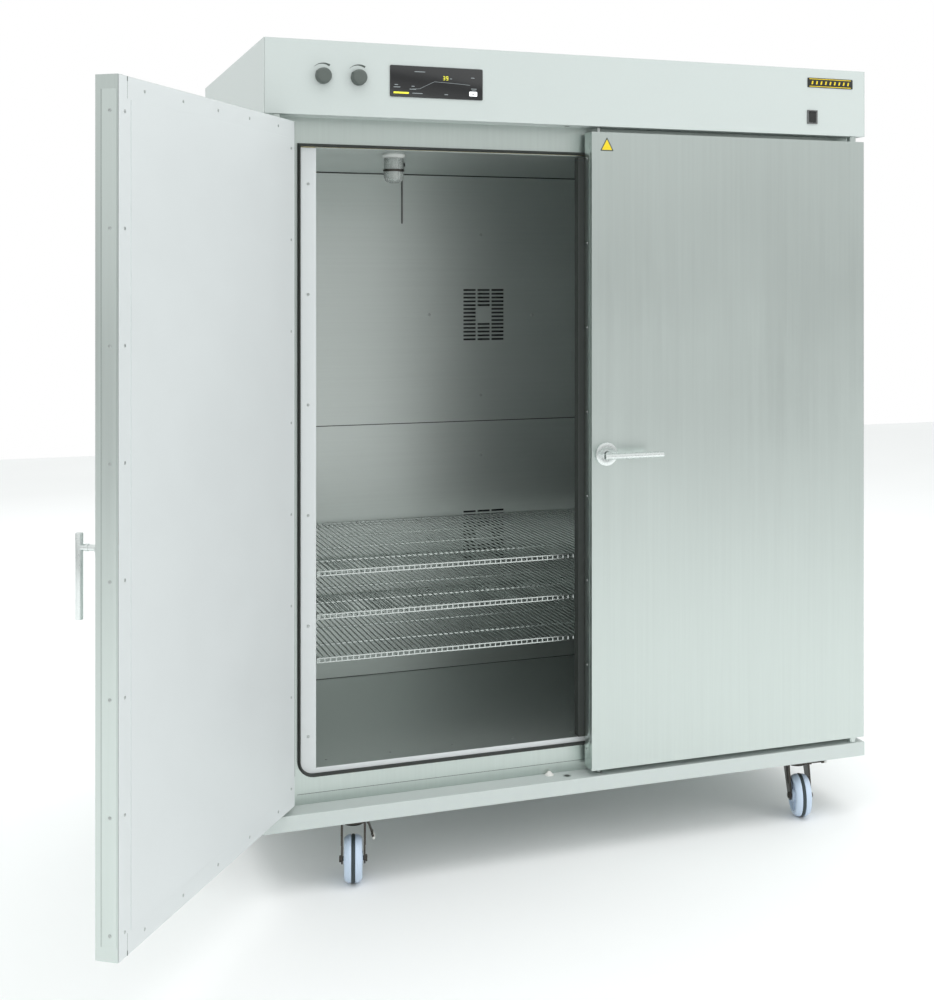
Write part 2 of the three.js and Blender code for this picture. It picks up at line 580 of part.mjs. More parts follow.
// ---- doors ----------------------------------------------------------------------------------------
// Both doors are drawn shut. side is -1 for the left door and +1 for the right one.
function door(word, side, spindleZ, rodsOut, handleDown) {
  const pivotX = side * PIVOT_X;
  const group = new THREE.Group();
  group.position.set(pivotX, PIVOT_Y, 0);
  incubator.add(group);
  const add = (name, geometry, material) =>
    piece(`${word}_${name}`, geometry.translate(-pivotX, -PIVOT_Y, 0), material, group);
  const meeting = side * DOOR_MEETING_EDGE;
  const hinge = side * DOOR_HINGE_EDGE;
  const spindleX = side * SPINDLE_X;
  const rodX = side * ROD_X;

  // Folded tray with the two pivot pins and their thrust collars welded to its ends.
  const tray = block(meeting, hinge, FRONT_Y, DOOR_TRAY_BACK_Y, DOOR_BOTTOM, DOOR_TOP);
  const trayHollow = block(
    meeting + side * SHEET, hinge - side * SHEET, FRONT_Y + SHEET, DOOR_TRAY_BACK_Y + 1,
    DOOR_BOTTOM + SHEET, DOOR_TOP - SHEET,
  );
  const rodHoles = bar('z', ROD_RADIUS + HOLE_PLAY, DOOR_BOTTOM - 1, DOOR_TOP + 1, rodX, ROD_Y);
  const spindleHole = bar('y', HANDLE_RADIUS + HOLE_PLAY, FRONT_Y - 1, FRONT_Y + 2, spindleX, spindleZ);
  const shell = cut(tray, trayHollow, rodHoles, spindleHole);
  add('door_skin', join(
    shell,
    bar('z', PIVOT_RADIUS, DOOR_TOP - 1, FASCIA_BOTTOM + 6, pivotX, PIVOT_Y),
    bar('z', 10, DOOR_TOP - 1, FASCIA_BOTTOM - GAP, pivotX, PIVOT_Y),
    bar('z', PIVOT_RADIUS, BASE_HEIGHT - 8, DOOR_BOTTOM + 1, pivotX, PIVOT_Y),
    bar('z', 10, BASE_HEIGHT + GAP, DOOR_BOTTOM + 1, pivotX, PIVOT_Y),
  ), BRUSHED);

  const panelY = DOOR_TRAY_BACK_Y + GAP;
  const rim = 1;
  const raisedMargin = 38;
  add('door_inner_panel', join(
    block(meeting + side * rim, hinge - side * rim, panelY, panelY + SHEET,
      DOOR_BOTTOM + rim, DOOR_TOP - rim),
    block(meeting + side * raisedMargin, hinge - side * raisedMargin, panelY, DOOR_PANEL_Y,
      DOOR_BOTTOM + raisedMargin, DOOR_TOP - raisedMargin),
  ), POLISHED);
  add('door_insulation', block(
    meeting + side * DOOR_EDGE_CHANNEL, hinge - side * (SHEET + GAP),
    FRONT_Y + SHEET + GAP, DOOR_TRAY_BACK_Y - GAP, DOOR_BOTTOM + SHEET + GAP, DOOR_TOP - SHEET - GAP,
  ), WOOL);

  const rosette = bar('y', ROSETTE_RADIUS, FRONT_Y - ROSETTE_THICKNESS, FRONT_Y - GAP,
    spindleX, spindleZ, 20);
  const rosetteBore = bar('y', HANDLE_RADIUS + HOLE_PLAY, FRONT_Y - ROSETTE_THICKNESS - 1, FRONT_Y + 1,
    spindleX, spindleZ);
  add('door_rosette', cut(rosette, rosetteBore), BRUSHED);

  // Handle: spindle through the door, latch cam on its inner end, and the grip bar outside.
  const gripY = FRONT_Y - HANDLE_STANDOFF;
  const grip = handleDown
    ? bar('z', HANDLE_RADIUS, spindleZ + HANDLE_SHORT_END, spindleZ - HANDLE_LONG_END, spindleX, gripY)
    : bar('x', HANDLE_RADIUS, spindleX - side * HANDLE_SHORT_END, spindleX + side * HANDLE_LONG_END,
      gripY, spindleZ);
  add('door_handle', join(
    grip,
    bar('y', HANDLE_RADIUS - 0.5, gripY, FRONT_Y + 12, spindleX, spindleZ),
    bar('y', 14, FRONT_Y + 6, FRONT_Y + 15, spindleX, spindleZ),
  ), POLISHED);

  const reach = ROD_SHOWS_WHEN_DRAWN + (rodsOut ? ROD_TRAVEL : 0);
  const rodStart = 30;
  add('latch_rod_upper',
    bar('z', ROD_RADIUS, spindleZ + rodStart, DOOR_TOP + reach, rodX, ROD_Y, 16), BRUSHED);
  add('latch_rod_lower',
    bar('z', ROD_RADIUS, DOOR_BOTTOM - reach, spindleZ - rodStart, rodX, ROD_Y, 16), BRUSHED);
  return { group, add };
}

function doors() {
  const left = door('left', -1, LEFT_SPINDLE_Z, false, true);
  left.group.rotation.z = -THREE.MathUtils.degToRad(LEFT_DOOR_OPEN_DEG);

  const right = door('right', 1, RIGHT_SPINDLE_Z, true, false);
  // Rubber strip behind the right door's free edge, which closes the gap between the doors.
  right.add('door_edge_seal', block(
    -4, DOOR_MEETING_EDGE + 7, DOOR_PANEL_Y + GAP, BODY_FRONT_Y + 12,
    CHAMBER_BOTTOM + 3, CHAMBER_TOP - 3,
  ), SEAL_RUBBER);
}

// ---- castors --------------------------------------------------------------------------------------
// Each castor is drawn about its own swivel axis, trailing towards -Y, then turned.
function castor(word, x, y, turnDeg, pedalDeg) {
  const group = new THREE.Group();
  group.position.set(x, y, 0);
  incubator.add(group);
  const plateBottom = -GAP - CASTOR_PLATE.thickness;
  const headBottom = plateBottom - SWIVEL_HEAD.height;
  piece(`castor_plate_${word}`, join(
    block(
      -CASTOR_PLATE.halfWidth, CASTOR_PLATE.halfWidth,
      -CASTOR_PLATE.halfDepth, CASTOR_PLATE.halfDepth, plateBottom, -GAP,
    ),
    bar('z', SWIVEL_HEAD.radius, headBottom, plateBottom + 1, 0, 0),
  ), DARK_METAL, group);

  const swivel = new THREE.Group();
  swivel.rotation.z = THREE.MathUtils.degToRad(turnDeg);
  group.add(swivel);
  const axleY = -CASTOR_TRAIL;
  const axleZ = -CASTOR_HEIGHT + WHEEL_RADIUS;
  const crownTop = headBottom - GAP;
  const legTop = crownTop - 1;
  const legInner = WHEEL_HALF_WIDTH + 1.5;
  const legOuter = legInner + FORK_PLATE;
  const leg = outline([
    [FORK_BACK, legTop], [FORK_BACK, crownTop - 12], [axleY + 12, axleZ - 10],
    [axleY - 2, axleZ - 14], [axleY - 14, axleZ - 4], [axleY - 8, axleZ + 14],
    [FORK_FRONT, crownTop - 6], [FORK_FRONT, legTop],
  ]);
  piece(`castor_fork_${word}`, join(
    block(-legOuter, legOuter, FORK_FRONT, FORK_BACK, crownTop - FORK_CROWN, crownTop),
    plateYZ(leg, legInner, legOuter),
    plateYZ(leg, -legOuter, -legInner),
    bar('x', AXLE_RADIUS, -legOuter - 4, legOuter + 4, axleY, axleZ, 16),
  ), DARK_METAL, swivel);

  const bore = AXLE_RADIUS + HOLE_PLAY;
  const wide = WHEEL_HALF_WIDTH;
  const shoulder = WHEEL_RADIUS - 8;
  const crownRadius = WHEEL_RADIUS - 1.5;
  const tyre = [
    [bore, -wide], [shoulder, -wide], [crownRadius, 8 - wide], [WHEEL_RADIUS, -5], [WHEEL_RADIUS, 5],
    [crownRadius, wide - 8], [shoulder, wide], [bore, wide], [bore, -wide],
  ];
  const wheel = new THREE.LatheGeometry(tyre.map(([r, h]) => new THREE.Vector2(r, h)), 20);
  piece(`castor_wheel_${word}`, wheel.rotateZ(Math.PI / 2).translate(0, axleY, axleZ),
    WHEEL_PLASTIC, swivel);

  if (pedalDeg === null) return;
  // Brake lever hinged beside the crown; it swings down against the wheel.
  const lever = new THREE.Group();
  lever.position.set(legOuter + 5, -8, crownTop - 6);
  lever.rotation.y = THREE.MathUtils.degToRad(pedalDeg);
  swivel.add(lever);
  const pedal = join(
    bar('y', 3.5, -10, 10, 0, 0, 12),
    block(0, PEDAL_LENGTH - 2, -9, 9, -2, 2),
    block(PEDAL_LENGTH - 14, PEDAL_LENGTH, -12, 12, -3, 3),
  );
  piece(`brake_pedal_${word}`, pedal, DARK_METAL, lever);
}

baseFrame();
outerHousing();
faceFrame();
chamber();
fans();
ceilingFittings();
shelving();
controls();
doors();
castor('front_left', CASTOR_LEFT_X, -CASTOR_Y, -14, 70);
castor('front_right', CASTOR_RIGHT_X, -CASTOR_Y, -17, -5);
castor('rear_left', CASTOR_LEFT_X, CASTOR_Y, -12, null);
castor('rear_right', CASTOR_RIGHT_X, CASTOR_Y, -15, null);

export default incubator;
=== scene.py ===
import json
import math

import bmesh
import bpy
from mathutils import Matrix, Vector


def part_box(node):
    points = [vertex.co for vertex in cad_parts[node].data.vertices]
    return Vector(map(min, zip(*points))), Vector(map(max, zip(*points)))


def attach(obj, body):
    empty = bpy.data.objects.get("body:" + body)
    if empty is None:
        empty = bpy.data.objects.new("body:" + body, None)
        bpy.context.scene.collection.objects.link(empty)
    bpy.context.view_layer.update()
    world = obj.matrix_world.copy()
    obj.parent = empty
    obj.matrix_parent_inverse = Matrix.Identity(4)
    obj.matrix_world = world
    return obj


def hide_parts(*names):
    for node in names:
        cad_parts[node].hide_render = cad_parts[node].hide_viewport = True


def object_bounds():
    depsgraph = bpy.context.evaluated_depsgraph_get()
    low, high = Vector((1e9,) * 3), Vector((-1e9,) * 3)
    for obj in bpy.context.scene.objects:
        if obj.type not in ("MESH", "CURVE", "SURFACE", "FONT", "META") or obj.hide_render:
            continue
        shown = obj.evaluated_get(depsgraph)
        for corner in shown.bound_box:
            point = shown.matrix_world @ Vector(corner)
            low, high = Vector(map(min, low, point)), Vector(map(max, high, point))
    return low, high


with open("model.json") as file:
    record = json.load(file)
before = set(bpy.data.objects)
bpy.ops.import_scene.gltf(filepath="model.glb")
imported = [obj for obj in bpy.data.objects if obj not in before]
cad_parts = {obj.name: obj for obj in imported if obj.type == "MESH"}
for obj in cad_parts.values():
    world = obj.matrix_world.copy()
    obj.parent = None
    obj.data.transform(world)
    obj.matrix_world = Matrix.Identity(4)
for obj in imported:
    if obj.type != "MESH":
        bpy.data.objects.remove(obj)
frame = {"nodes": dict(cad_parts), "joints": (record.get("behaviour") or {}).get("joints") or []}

CAD_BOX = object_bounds()
NODES = frame["nodes"]
JOINTS = {j["name"]: j for j in frame["joints"]}
MM = 0.001
TAU = 2 * math.pi

# ---- dimensions shared with the frame, in millimetres ---------------------------------------------
FRONT_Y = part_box("control_fascia")[0].y / MM
BODY_FRONT_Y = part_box("front_frame")[0].y / MM
LEDGE_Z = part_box("base_frame")[1].z / MM
DOOR_BOTTOM, DOOR_TOP = 46.0, 1498.0
DOOR_FLANGE_Y = -386.7
DOOR_PANEL_Y = -385.2
MEETING_EDGE = 10.5
EDGE_STRIP_END = 24.0
BACK_PANEL_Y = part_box("back_panel_upper")[0].y / MM
CEILING_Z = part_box("chamber_lamp")[1].z / MM
LINTEL_Z = 1511.0
ROD_X, ROD_Y = 39.0, -402.0
SCREW_LOW_Z, SCREW_PITCH, SCREW_COUNT = 89.0, 192.8, 8
GRILLE_SCREWS = ((-8, 1285), (-156, 1067), (142, 1064), (-8, 846), (-8, 682), (-156, 462), (142, 462))
FAN_PLATE_HALF, FAN_PLATE_HOLE, FAN_PLATE_THICK = 115.0, 8.0, 1.5
SHELF_WIRES = 92
SHELF_BARS_FROM_FRONT = (132, 285, 436)
POINTER_DEG = -58.0
SPINDLE_X = 45.0
SPINDLE_Z = {"left": 715.0, "right": 765.0}
HANDLE_REACH, HANDLE_TAIL, HANDLE_RADIUS = 121.0, 24.0, 6.5

left_hinge = JOINTS["left_door_hinge"]
_pivot = Vector(left_hinge["pos_m"])
_open = math.radians(left_hinge["range_deg"][0])
LEFT_DOOR = Matrix.Translation(_pivot) @ Matrix.Rotation(_open, 4, "Z") @ Matrix.Translation(-_pivot)


# ---- materials ------------------------------------------------------------------------------------
def material(name):
    made = bpy.data.materials.new(name)
    made.use_nodes = True
    tree = made.node_tree
    tree.nodes.clear()
    shader = tree.nodes.new("ShaderNodeBsdfPrincipled")
    output = tree.nodes.new("ShaderNodeOutputMaterial")
    tree.links.new(shader.outputs["BSDF"], output.inputs["Surface"])
    return made, tree, shader


def noise(tree, scale, detail=3.0, roughness=0.5):
    """Noise over object coordinates; scale is cycles per metre along X, Y and Z."""
    coords = tree.nodes.new("ShaderNodeTexCoord")
    mapping = tree.nodes.new("ShaderNodeMapping")
    mapping.inputs["Scale"].default_value = scale
    texture = tree.nodes.new("ShaderNodeTexNoise")
    texture.inputs["Scale"].default_value = 1.0
    texture.inputs["Detail"].default_value = detail
    texture.inputs["Roughness"].default_value = roughness
    tree.links.new(coords.outputs["Object"], mapping.inputs["Vector"])
    tree.links.new(mapping.outputs["Vector"], texture.inputs["Vector"])
    return texture.outputs["Fac"]


def blend_values(tree, a, b, share):
    mix = tree.nodes.new("ShaderNodeMix")
    mix.data_type = "FLOAT"
    mix.inputs[0].default_value = share
    tree.links.new(a, mix.inputs[2])
    tree.links.new(b, mix.inputs[3])
    return mix.outputs[0]


def tint(tree, shader, source, colour, spread, low=0.3, high=0.7):
    """Base colour that varies by +-spread around colour, driven by source."""
    ramp = tree.nodes.new("ShaderNodeValToRGB")
    for element, place, gain in zip(ramp.color_ramp.elements, (low, high), (1 - spread, 1 + spread)):
        element.position = place
        element.color = [min(1.0, c * gain) for c in colour] + [1.0]
    tree.links.new(source, ramp.inputs["Fac"])
    tree.links.new(ramp.outputs["Color"], shader.inputs["Base Color"])


def vary(tree, shader, socket, source, low, high):
    spread = tree.nodes.new("ShaderNodeMapRange")
    spread.inputs["From Min"].default_value = 0.3
    spread.inputs["From Max"].default_value = 0.7
    spread.inputs["To Min"].default_value = low
    spread.inputs["To Max"].default_value = high
    tree.links.new(source, spread.inputs["Value"])
    tree.links.new(spread.outputs["Result"], shader.inputs[socket])


def relief(tree, shader, source, strength, depth):
    bump = tree.nodes.new("ShaderNodeBump")
    bump.inputs["Strength"].default_value = strength
    bump.inputs["Distance"].default_value = depth
    tree.links.new(source, bump.inputs["Height"])
    tree.links.new(bump.outputs["Normal"], shader.inputs["Normal"])


def steel(name, colour, rough, grain=(1, 1, 0), wear=0.05, depth=0.00006, metallic=1.0):
    """Brushed sheet: grain is 1 across the brush lines and 0 along them."""
    made, tree, shader = material(name)
    shader.inputs["Metallic"].default_value = metallic
    fine = noise(tree, [900.0 if g else 7.0 for g in grain], 2.0)
    broad = noise(tree, [150.0 if g else 2.2 for g in grain], 3.0)
    clouds = noise(tree, (2.6, 2.6, 2.1), 3.0)
    streaks = blend_values(tree, fine, broad, 0.55)
    tint(tree, shader, blend_values(tree, streaks, clouds, 0.35), colour, wear)
    vary(tree, shader, "Roughness", blend_values(tree, streaks, clouds, 0.5), rough - 0.06, rough + 0.07)
    relief(tree, shader, streaks, 0.25, depth)
    return made


def coated(name, colour, rough, peel=420.0, strength=0.12, depth=0.0002, spread=0.018, coat=0.0):
    """Powder coat or moulded plastic: a fine orange peel with slow changes of tone."""
    made, tree, shader = material(name)
    peel_noise = noise(tree, (peel, peel, peel), 2.0)
    clouds = noise(tree, (3.0, 3.0, 3.0), 4.0)
    tint(tree, shader, blend_values(tree, peel_noise, clouds, 0.6), colour, spread)
    vary(tree, shader, "Roughness", blend_values(tree, peel_noise, clouds, 0.5), rough - 0.05, rough + 0.06)
    shader.inputs["Coat Weight"].default_value = coat
    shader.inputs["Coat Roughness"].default_value = 0.2
    relief(tree, shader, peel_noise, strength, depth)
    return made


def glowing(name, colour, strength):
    made, tree, shader = material(name)
    grain = noise(tree, (900.0, 900.0, 900.0), 1.0)
    tint(tree, shader, grain, colour, 0.08)
    shader.inputs["Roughness"].default_value = 0.3
    shader.inputs["Emission Color"].default_value = (*colour, 1.0)
    shader.inputs["Emission Strength"].default_value = strength
    return made


PAINT = coated("satin_powder_coat", (0.56, 0.615, 0.60), 0.42, spread=0.02)
DOOR_STEEL = steel("brushed_door_steel", (0.60, 0.66, 0.635), 0.34, wear=0.045)
FRAME_STEEL = steel("brushed_frame_steel", (0.58, 0.645, 0.615), 0.36, wear=0.05)
BRIGHT_STEEL = coated("bright_inner_sheet", (0.66, 0.695, 0.70), 0.36, peel=12.0, strength=0.01, spread=0.012)
CHAMBER_STEEL = steel("ground_chamber_steel", (0.60, 0.65, 0.63), 0.36, wear=0.04, metallic=0.84)
BACK_STEEL = steel("chamber_back_steel", (0.65, 0.70, 0.675), 0.38, grain=(0, 1, 1), wear=0.04, metallic=0.82)
WIRE_STEEL = steel("electropolished_wire", (0.70, 0.74, 0.72), 0.34, grain=(1, 1, 1), wear=0.04)
HANDLE_STEEL = steel("satin_bar_steel", (0.76, 0.80, 0.79), 0.26, grain=(1, 1, 1), wear=0.03)
ROD_STEEL = steel("ground_rod_steel", (0.62, 0.65, 0.64), 0.3, wear=0.05)
DARK_STEEL = steel("dark_chromate_steel", (0.085, 0.078, 0.07), 0.32, grain=(1, 1, 1), wear=0.25)
PROBE_STEEL = steel("heat_tinted_rod", (0.20, 0.205, 0.20), 0.35, grain=(1, 1, 1), wear=0.12)
SCREW_STEEL = steel("screw_steel", (0.50, 0.53, 0.52), 0.3, grain=(1, 1, 1), wear=0.08)
CAST_METAL = steel("cast_aluminium", (0.12, 0.125, 0.125), 0.5, grain=(1, 1, 1), wear=0.08)
MOTOR_ENAMEL = coated("black_motor_enamel", (0.03, 0.03, 0.03), 0.4)
RUBBER = coated("silicone_seal", (0.035, 0.04, 0.037), 0.6, peel=260.0, strength=0.2, spread=0.15)
WOOL = coated("mineral_wool", (0.62, 0.55, 0.30), 0.95, peel=160.0, strength=0.9, depth=0.003, spread=0.2)
KNOB_PLASTIC = coated("knob_plastic", (0.105, 0.125, 0.115), 0.5, peel=700.0, strength=0.25, spread=0.08)
# Black plastic; the same colour also paints the shade in the holes of the rod keepers.
DARK_PLASTIC_AND_SHADE = coated("black_plastic_and_hole_shade", (0.02, 0.022, 0.021), 0.38, peel=700.0, strength=0.2, spread=0.1)
BEZEL_PLASTIC = coated(
    "grey_bezel_plastic", (0.12, 0.125, 0.125), 0.45, peel=700.0, strength=0.2, spread=0.08)
PRINT_INK = coated("dark_print", (0.075, 0.095, 0.085), 0.5, peel=900.0, strength=0.05, spread=0.06)
GLASS_BLACK = coated(
    "screen_glass", (0.004, 0.005, 0.006), 0.12, peel=40.0, strength=0.02, spread=0.3, coat=1.0)
WHEEL_BLUE = coated(
    "polyamide_wheel", (0.55, 0.66, 0.80), 0.35, peel=300.0, strength=0.1, spread=0.05, coat=0.3)
TREAD = coated("dark_tread", (0.03, 0.045, 0.05), 0.5, peel=350.0, strength=0.25, spread=0.15)
TIP_WHITE = coated("pedal_tip", (0.78, 0.78, 0.75), 0.35, spread=0.05)
STICKER_YELLOW = coated("sticker_yellow", (0.83, 0.63, 0.02), 0.35, peel=500.0, strength=0.05, spread=0.03)
CERAMIC = coated("lamp_socket_ceramic", (0.66, 0.68, 0.66), 0.3, spread=0.04)
GLOW_YELLOW = glowing("screen_yellow", (0.75, 0.72, 0.05), 0.7)
GLOW_GREY = glowing("screen_grey", (0.25, 0.28, 0.29), 0.25)
GLOW_WHITE = glowing("screen_white", (0.85, 0.88, 0.90), 0.9)


def ribbed_glass():
    made, tree, shader = material("ribbed_lamp_glass")
    grain = noise(tree, (120.0, 120.0, 120.0), 2.0)
    tint(tree, shader, grain, (0.86, 0.90, 0.88), 0.03)
    vary(tree, shader, "Roughness", grain, 0.08, 0.2)
    shader.inputs["Transmission Weight"].default_value = 0.8
    shader.inputs["IOR"].default_value = 1.45
    return made


LAMP_GLASS = ribbed_glass()


# ---- mesh helpers ---------------------------------------------------------------------------------
def frame_of(axis):
    """Two unit vectors square to axis."""
    axis = Vector(axis).normalized()
    helper = Vector((0, 0, 1)) if abs(axis.z) < 0.9 else Vector((1, 0, 0))
    across = axis.cross(helper).normalized()
    return axis, across, axis.cross(across)


class Shape:
    """Closed solids gathered into one piece. All its sizes are in millimetres."""

    def __init__(self):
        self.mesh = bmesh.new()

    def box(self, low, high, bevel=0.0, turn=None):
        part = bmesh.new()
        bmesh.ops.create_cube(part, size=1.0)
        low, high = Vector(low), Vector(high)
        bmesh.ops.scale(part, vec=[abs(v) for v in (high - low)], verts=part.verts)
        bmesh.ops.translate(part, vec=(low + high) / 2, verts=part.verts)
        if bevel:
            bmesh.ops.bevel(part, geom=part.edges[:], offset=bevel, segments=3, profile=0.5, affect="EDGES")
        self._take(part, turn)

    def _take(self, part, turn=None):
        bmesh.ops.recalc_face_normals(part, faces=part.faces)
        if turn is not None:
            bmesh.ops.transform(part, matrix=turn, verts=part.verts)
        copy = bpy.data.meshes.new("part")
        part.to_mesh(copy)
        part.free()
        self.mesh.from_mesh(copy)
        bpy.data.meshes.remove(copy)

    def rings(self, rings, closed=False, turn=None):
        """Skin over rings of points; a ring of one point is a tip. closed joins the last to the first."""
        part = bmesh.new()
        made = [[part.verts.new(p) for p in ring] for ring in rings]
        pairs = list(zip(made, made[1:])) + ([(made[-1], made[0])] if closed else [])
        for a, b in pairs:
            count = max(len(a), len(b))
            for i in range(count):
                j = (i + 1) % count
                corners = [a[i % len(a)], a[j % len(a)], b[j % len(b)], b[i % len(b)]]
                unique = list(dict.fromkeys(corners))
                if len(unique) > 2:
                    part.faces.new(unique)
        if not closed:
            for ring in (made[0], made[-1]):
                if len(ring) > 2:
                    part.faces.new(ring)
        self._take(part, turn)

    def lathe(self, profile, origin, axis, sides=48, ripple=0.0, ribs=0, turn=None, loop=False):
        """profile lists (radius, distance along axis). ripple is the height of ribs round the side."""
        axis, across, up = frame_of(axis)
        origin = Vector(origin)
        rings = []
        for radius, along in profile:
            if radius < 1e-6:
                rings.append([origin + axis * along])
                continue
            ring = []
            for i in range(sides):
                angle = TAU * i / sides
                r = radius + ripple * math.cos(ribs * angle) if ribs else radius
                ring.append(origin + axis * along + (across * math.cos(angle) + up * math.sin(angle)) * r)
            rings.append(ring)
        self.rings(rings, closed=loop, turn=turn)

    def rod(self, start, end, radius, sides=24, bevel=0.4, turn=None):
        length = (Vector(end) - Vector(start)).length
        e = min(bevel, radius * 0.6, length * 0.4)
        near = [(0, 0), (radius - e, 0), (radius - e * 0.3, e * 0.3), (radius, e)]
        profile = near + [(r, length - along) for r, along in reversed(near)]
        self.lathe(profile, start, Vector(end) - Vector(start), sides, turn=turn)

    def dome(self, at, axis, radius, height, sides=16):
        profile = [(0, height)]
        profile += [(radius * math.sin(a), height * math.cos(a)) for a in (0.35, 0.7, 1.05, 1.35, 1.57)]
        profile += [(radius, -0.2), (0, -0.2)]
        self.lathe(profile, at, axis, sides)

    def screw(self, at, axis, radius=3.6, height=1.6):
        """A pan head with a socket in it."""
        profile = [(0, height * 0.35), (radius * 0.42, height * 0.35), (radius * 0.46, height),
                   (radius * 0.75, height * 0.92), (radius * 0.95, height * 0.5), (radius, 0),
                   (radius, -0.2), (0, -0.2)]
        self.lathe(profile, at, axis, 18)

    def prism(self, outline, origin, u, v, depth, bevel=0.0, turn=None):
        """A flat outline of (u, v) points at origin, thickened by depth along u x v."""
        part = bmesh.new()
        origin, u, v = Vector(origin), Vector(u), Vector(v)
        w = u.cross(v).normalized() * depth
        low = [part.verts.new(origin + u * a + v * b) for a, b in outline]
        high = [part.verts.new(origin + u * a + v * b + w) for a, b in outline]
        part.faces.new(low[::-1])
        part.faces.new(high)
        for i in range(len(low)):
            j = (i + 1) % len(low)
            part.faces.new((low[i], low[j], high[j], high[i]))
        if bevel:
            rim = [e for e in part.edges if (e.verts[0] in low) == (e.verts[1] in low)]
            bmesh.ops.bevel(part, geom=rim, offset=bevel, segments=2, profile=0.5, affect="EDGES")
        self._take(part, turn)

    def piece(self, name, look, body, slot=None, place=None, replaces=(), crease=38.0):
        mesh = bpy.data.meshes.new(name)
        self.mesh.to_mesh(mesh)
        self.mesh.free()
        mesh.transform(Matrix.Scale(MM, 4))
        if place is not None:
            mesh.transform(place)
        mesh.polygons.foreach_set("use_smooth", [True] * len(mesh.polygons))
        mesh.set_sharp_from_angle(angle=math.radians(crease))
        mesh.materials.append(look)
        made = bpy.data.objects.new(name, mesh)
        bpy.context.scene.collection.objects.link(made)
        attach(made, body)
        if replaces:
            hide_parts(*replaces)
        return made


def rounded(points, radius, steps=4):
    """The outline with each corner rounded off."""
    out = []
    count = len(points)
    for i in range(count):
        here = Vector(points[i])
        before = Vector(points[i - 1]) - here
        after = Vector(points[(i + 1) % count]) - here
        reach = min(radius, before.length * 0.45, after.length * 0.45)
        a = here + before.normalized() * reach
        b = here + after.normalized() * reach
        for s in range(steps + 1):
            t = s / steps
            out.append(a * (1 - t) ** 2 + here * (2 * t * (1 - t)) + b * t ** 2)
    return [(p.x, p.y) for p in out]


# ---- carried-over nodes ---------------------------------------------------------------------------
LOOKS = {
    "base_frame": (PAINT, 0.8), "side_panel_left": (PAINT, 0.4), "side_panel_right": (PAINT, 0.4),
    "top_panel": (PAINT, 0.4), "rear_panel": (PAINT, 0.4), "control_fascia": (PAINT, 0.5),
    "front_frame": (FRAME_STEEL, 0), "opening_trim": (BRIGHT_STEEL, 0.4), "chamber_liner": (CHAMBER_STEEL, 0),
    "back_panel_upper": (BACK_STEEL, 0), "back_panel_lower": (BACK_STEEL, 0),
    "insulation_jacket": (WOOL, 0),
    "fan_impeller_upper": (CAST_METAL, 0), "fan_impeller_lower": (CAST_METAL, 0),
    "fan_motor_upper": (MOTOR_ENAMEL, 0), "fan_motor_lower": (MOTOR_ENAMEL, 0),
    "heater_element": (PROBE_STEEL, 0), "shelf_rack_left": (CHAMBER_STEEL, 0.3),
    "shelf_rack_right": (CHAMBER_STEEL, 0.3), "switch_bezel": (BEZEL_PLASTIC, 0.3),
    "mains_rocker": (DARK_PLASTIC_AND_SHADE, 0.4), "right_door_edge_seal": (RUBBER, 1.0),
}
for _side in ("left", "right"):
    LOOKS[f"{_side}_door_skin"] = (DOOR_STEEL, 0.6)
    LOOKS[f"{_side}_door_inner_panel"] = (BRIGHT_STEEL, 0.35)
    LOOKS[f"{_side}_door_insulation"] = (WOOL, 0)
    LOOKS[f"{_side}_latch_rod_upper"] = (ROD_STEEL, 0.4)
    LOOKS[f"{_side}_latch_rod_lower"] = (ROD_STEEL, 0.4)
CASTORS = ("front_left", "front_right", "rear_left", "rear_right")
for _end in CASTORS:
    LOOKS[f"castor_plate_{_end}"] = (DARK_STEEL, 0.5)


def dress(name, look, bevel):
    node = NODES[name]
    node.data.materials.clear()
    node.data.materials.append(look)
    node.data.polygons.foreach_set("use_smooth", [False] * len(node.data.polygons))
    if "custom_normal" in node.data.attributes:
        node.data.attributes.remove(node.data.attributes["custom_normal"])
    if bevel:
        weld = node.modifiers.new("weld", "WELD")
        weld.merge_threshold = 0.00001
        edge = node.modifiers.new("edge", "BEVEL")
        edge.width = bevel * MM
        edge.segments = 2
        edge.limit_method = "ANGLE"
        edge.angle_limit = math.radians(50)


for _name, (_look, _bevel) in LOOKS.items():
    dress(_name, _look, _bevel)


# ---- door seal on the cabinet, a hollow section round the opening -----------------------------------
def opening_loop(inset):
    """The mouth's outline, rounded at its lower corners, drawn in by inset."""
    half, low, high, corner = 653.0 - inset, 91.0 + inset, 1455.0 - inset, 35.0 - inset
    points = [(-half, high), (-half, 776.0)]
    for k in range(7):
        a = math.pi + k / 6 * math.pi / 2
        points.append((-half + corner + corner * math.cos(a), low + corner + corner * math.sin(a)))
    points.append((0.0, low))
    for k in range(7):
        a = 1.5 * math.pi + k / 6 * math.pi / 2
        points.append((half - corner + corner * math.cos(a), low + corner + corner * math.sin(a)))
    points += [(half, 776.0), (half, high), (0.0, high)]
    return points


def build_seal():
    seal = Shape()
    front, back = DOOR_PANEL_Y + 0.4, BODY_FRONT_Y - 0.3
    section = [
        (0.2, back), (0.2, back - 3), (1.0, front + 3), (2.4, front + 0.6), (3.5, front),
        (4.6, front + 0.6), (6.0, front + 3), (6.8, back - 3), (6.8, back),
    ]
    loops = [opening_loop(inset) for inset, _ in section]
    rings = [[Vector((x, y, z)) for x, z in loop] for loop, (_, y) in zip(loops, section)]
    seal.rings(rings, closed=True)
    seal.piece("opening_seal", RUBBER, "cabinet", "seal_rubber", replaces=("door_seal",))


build_seal()
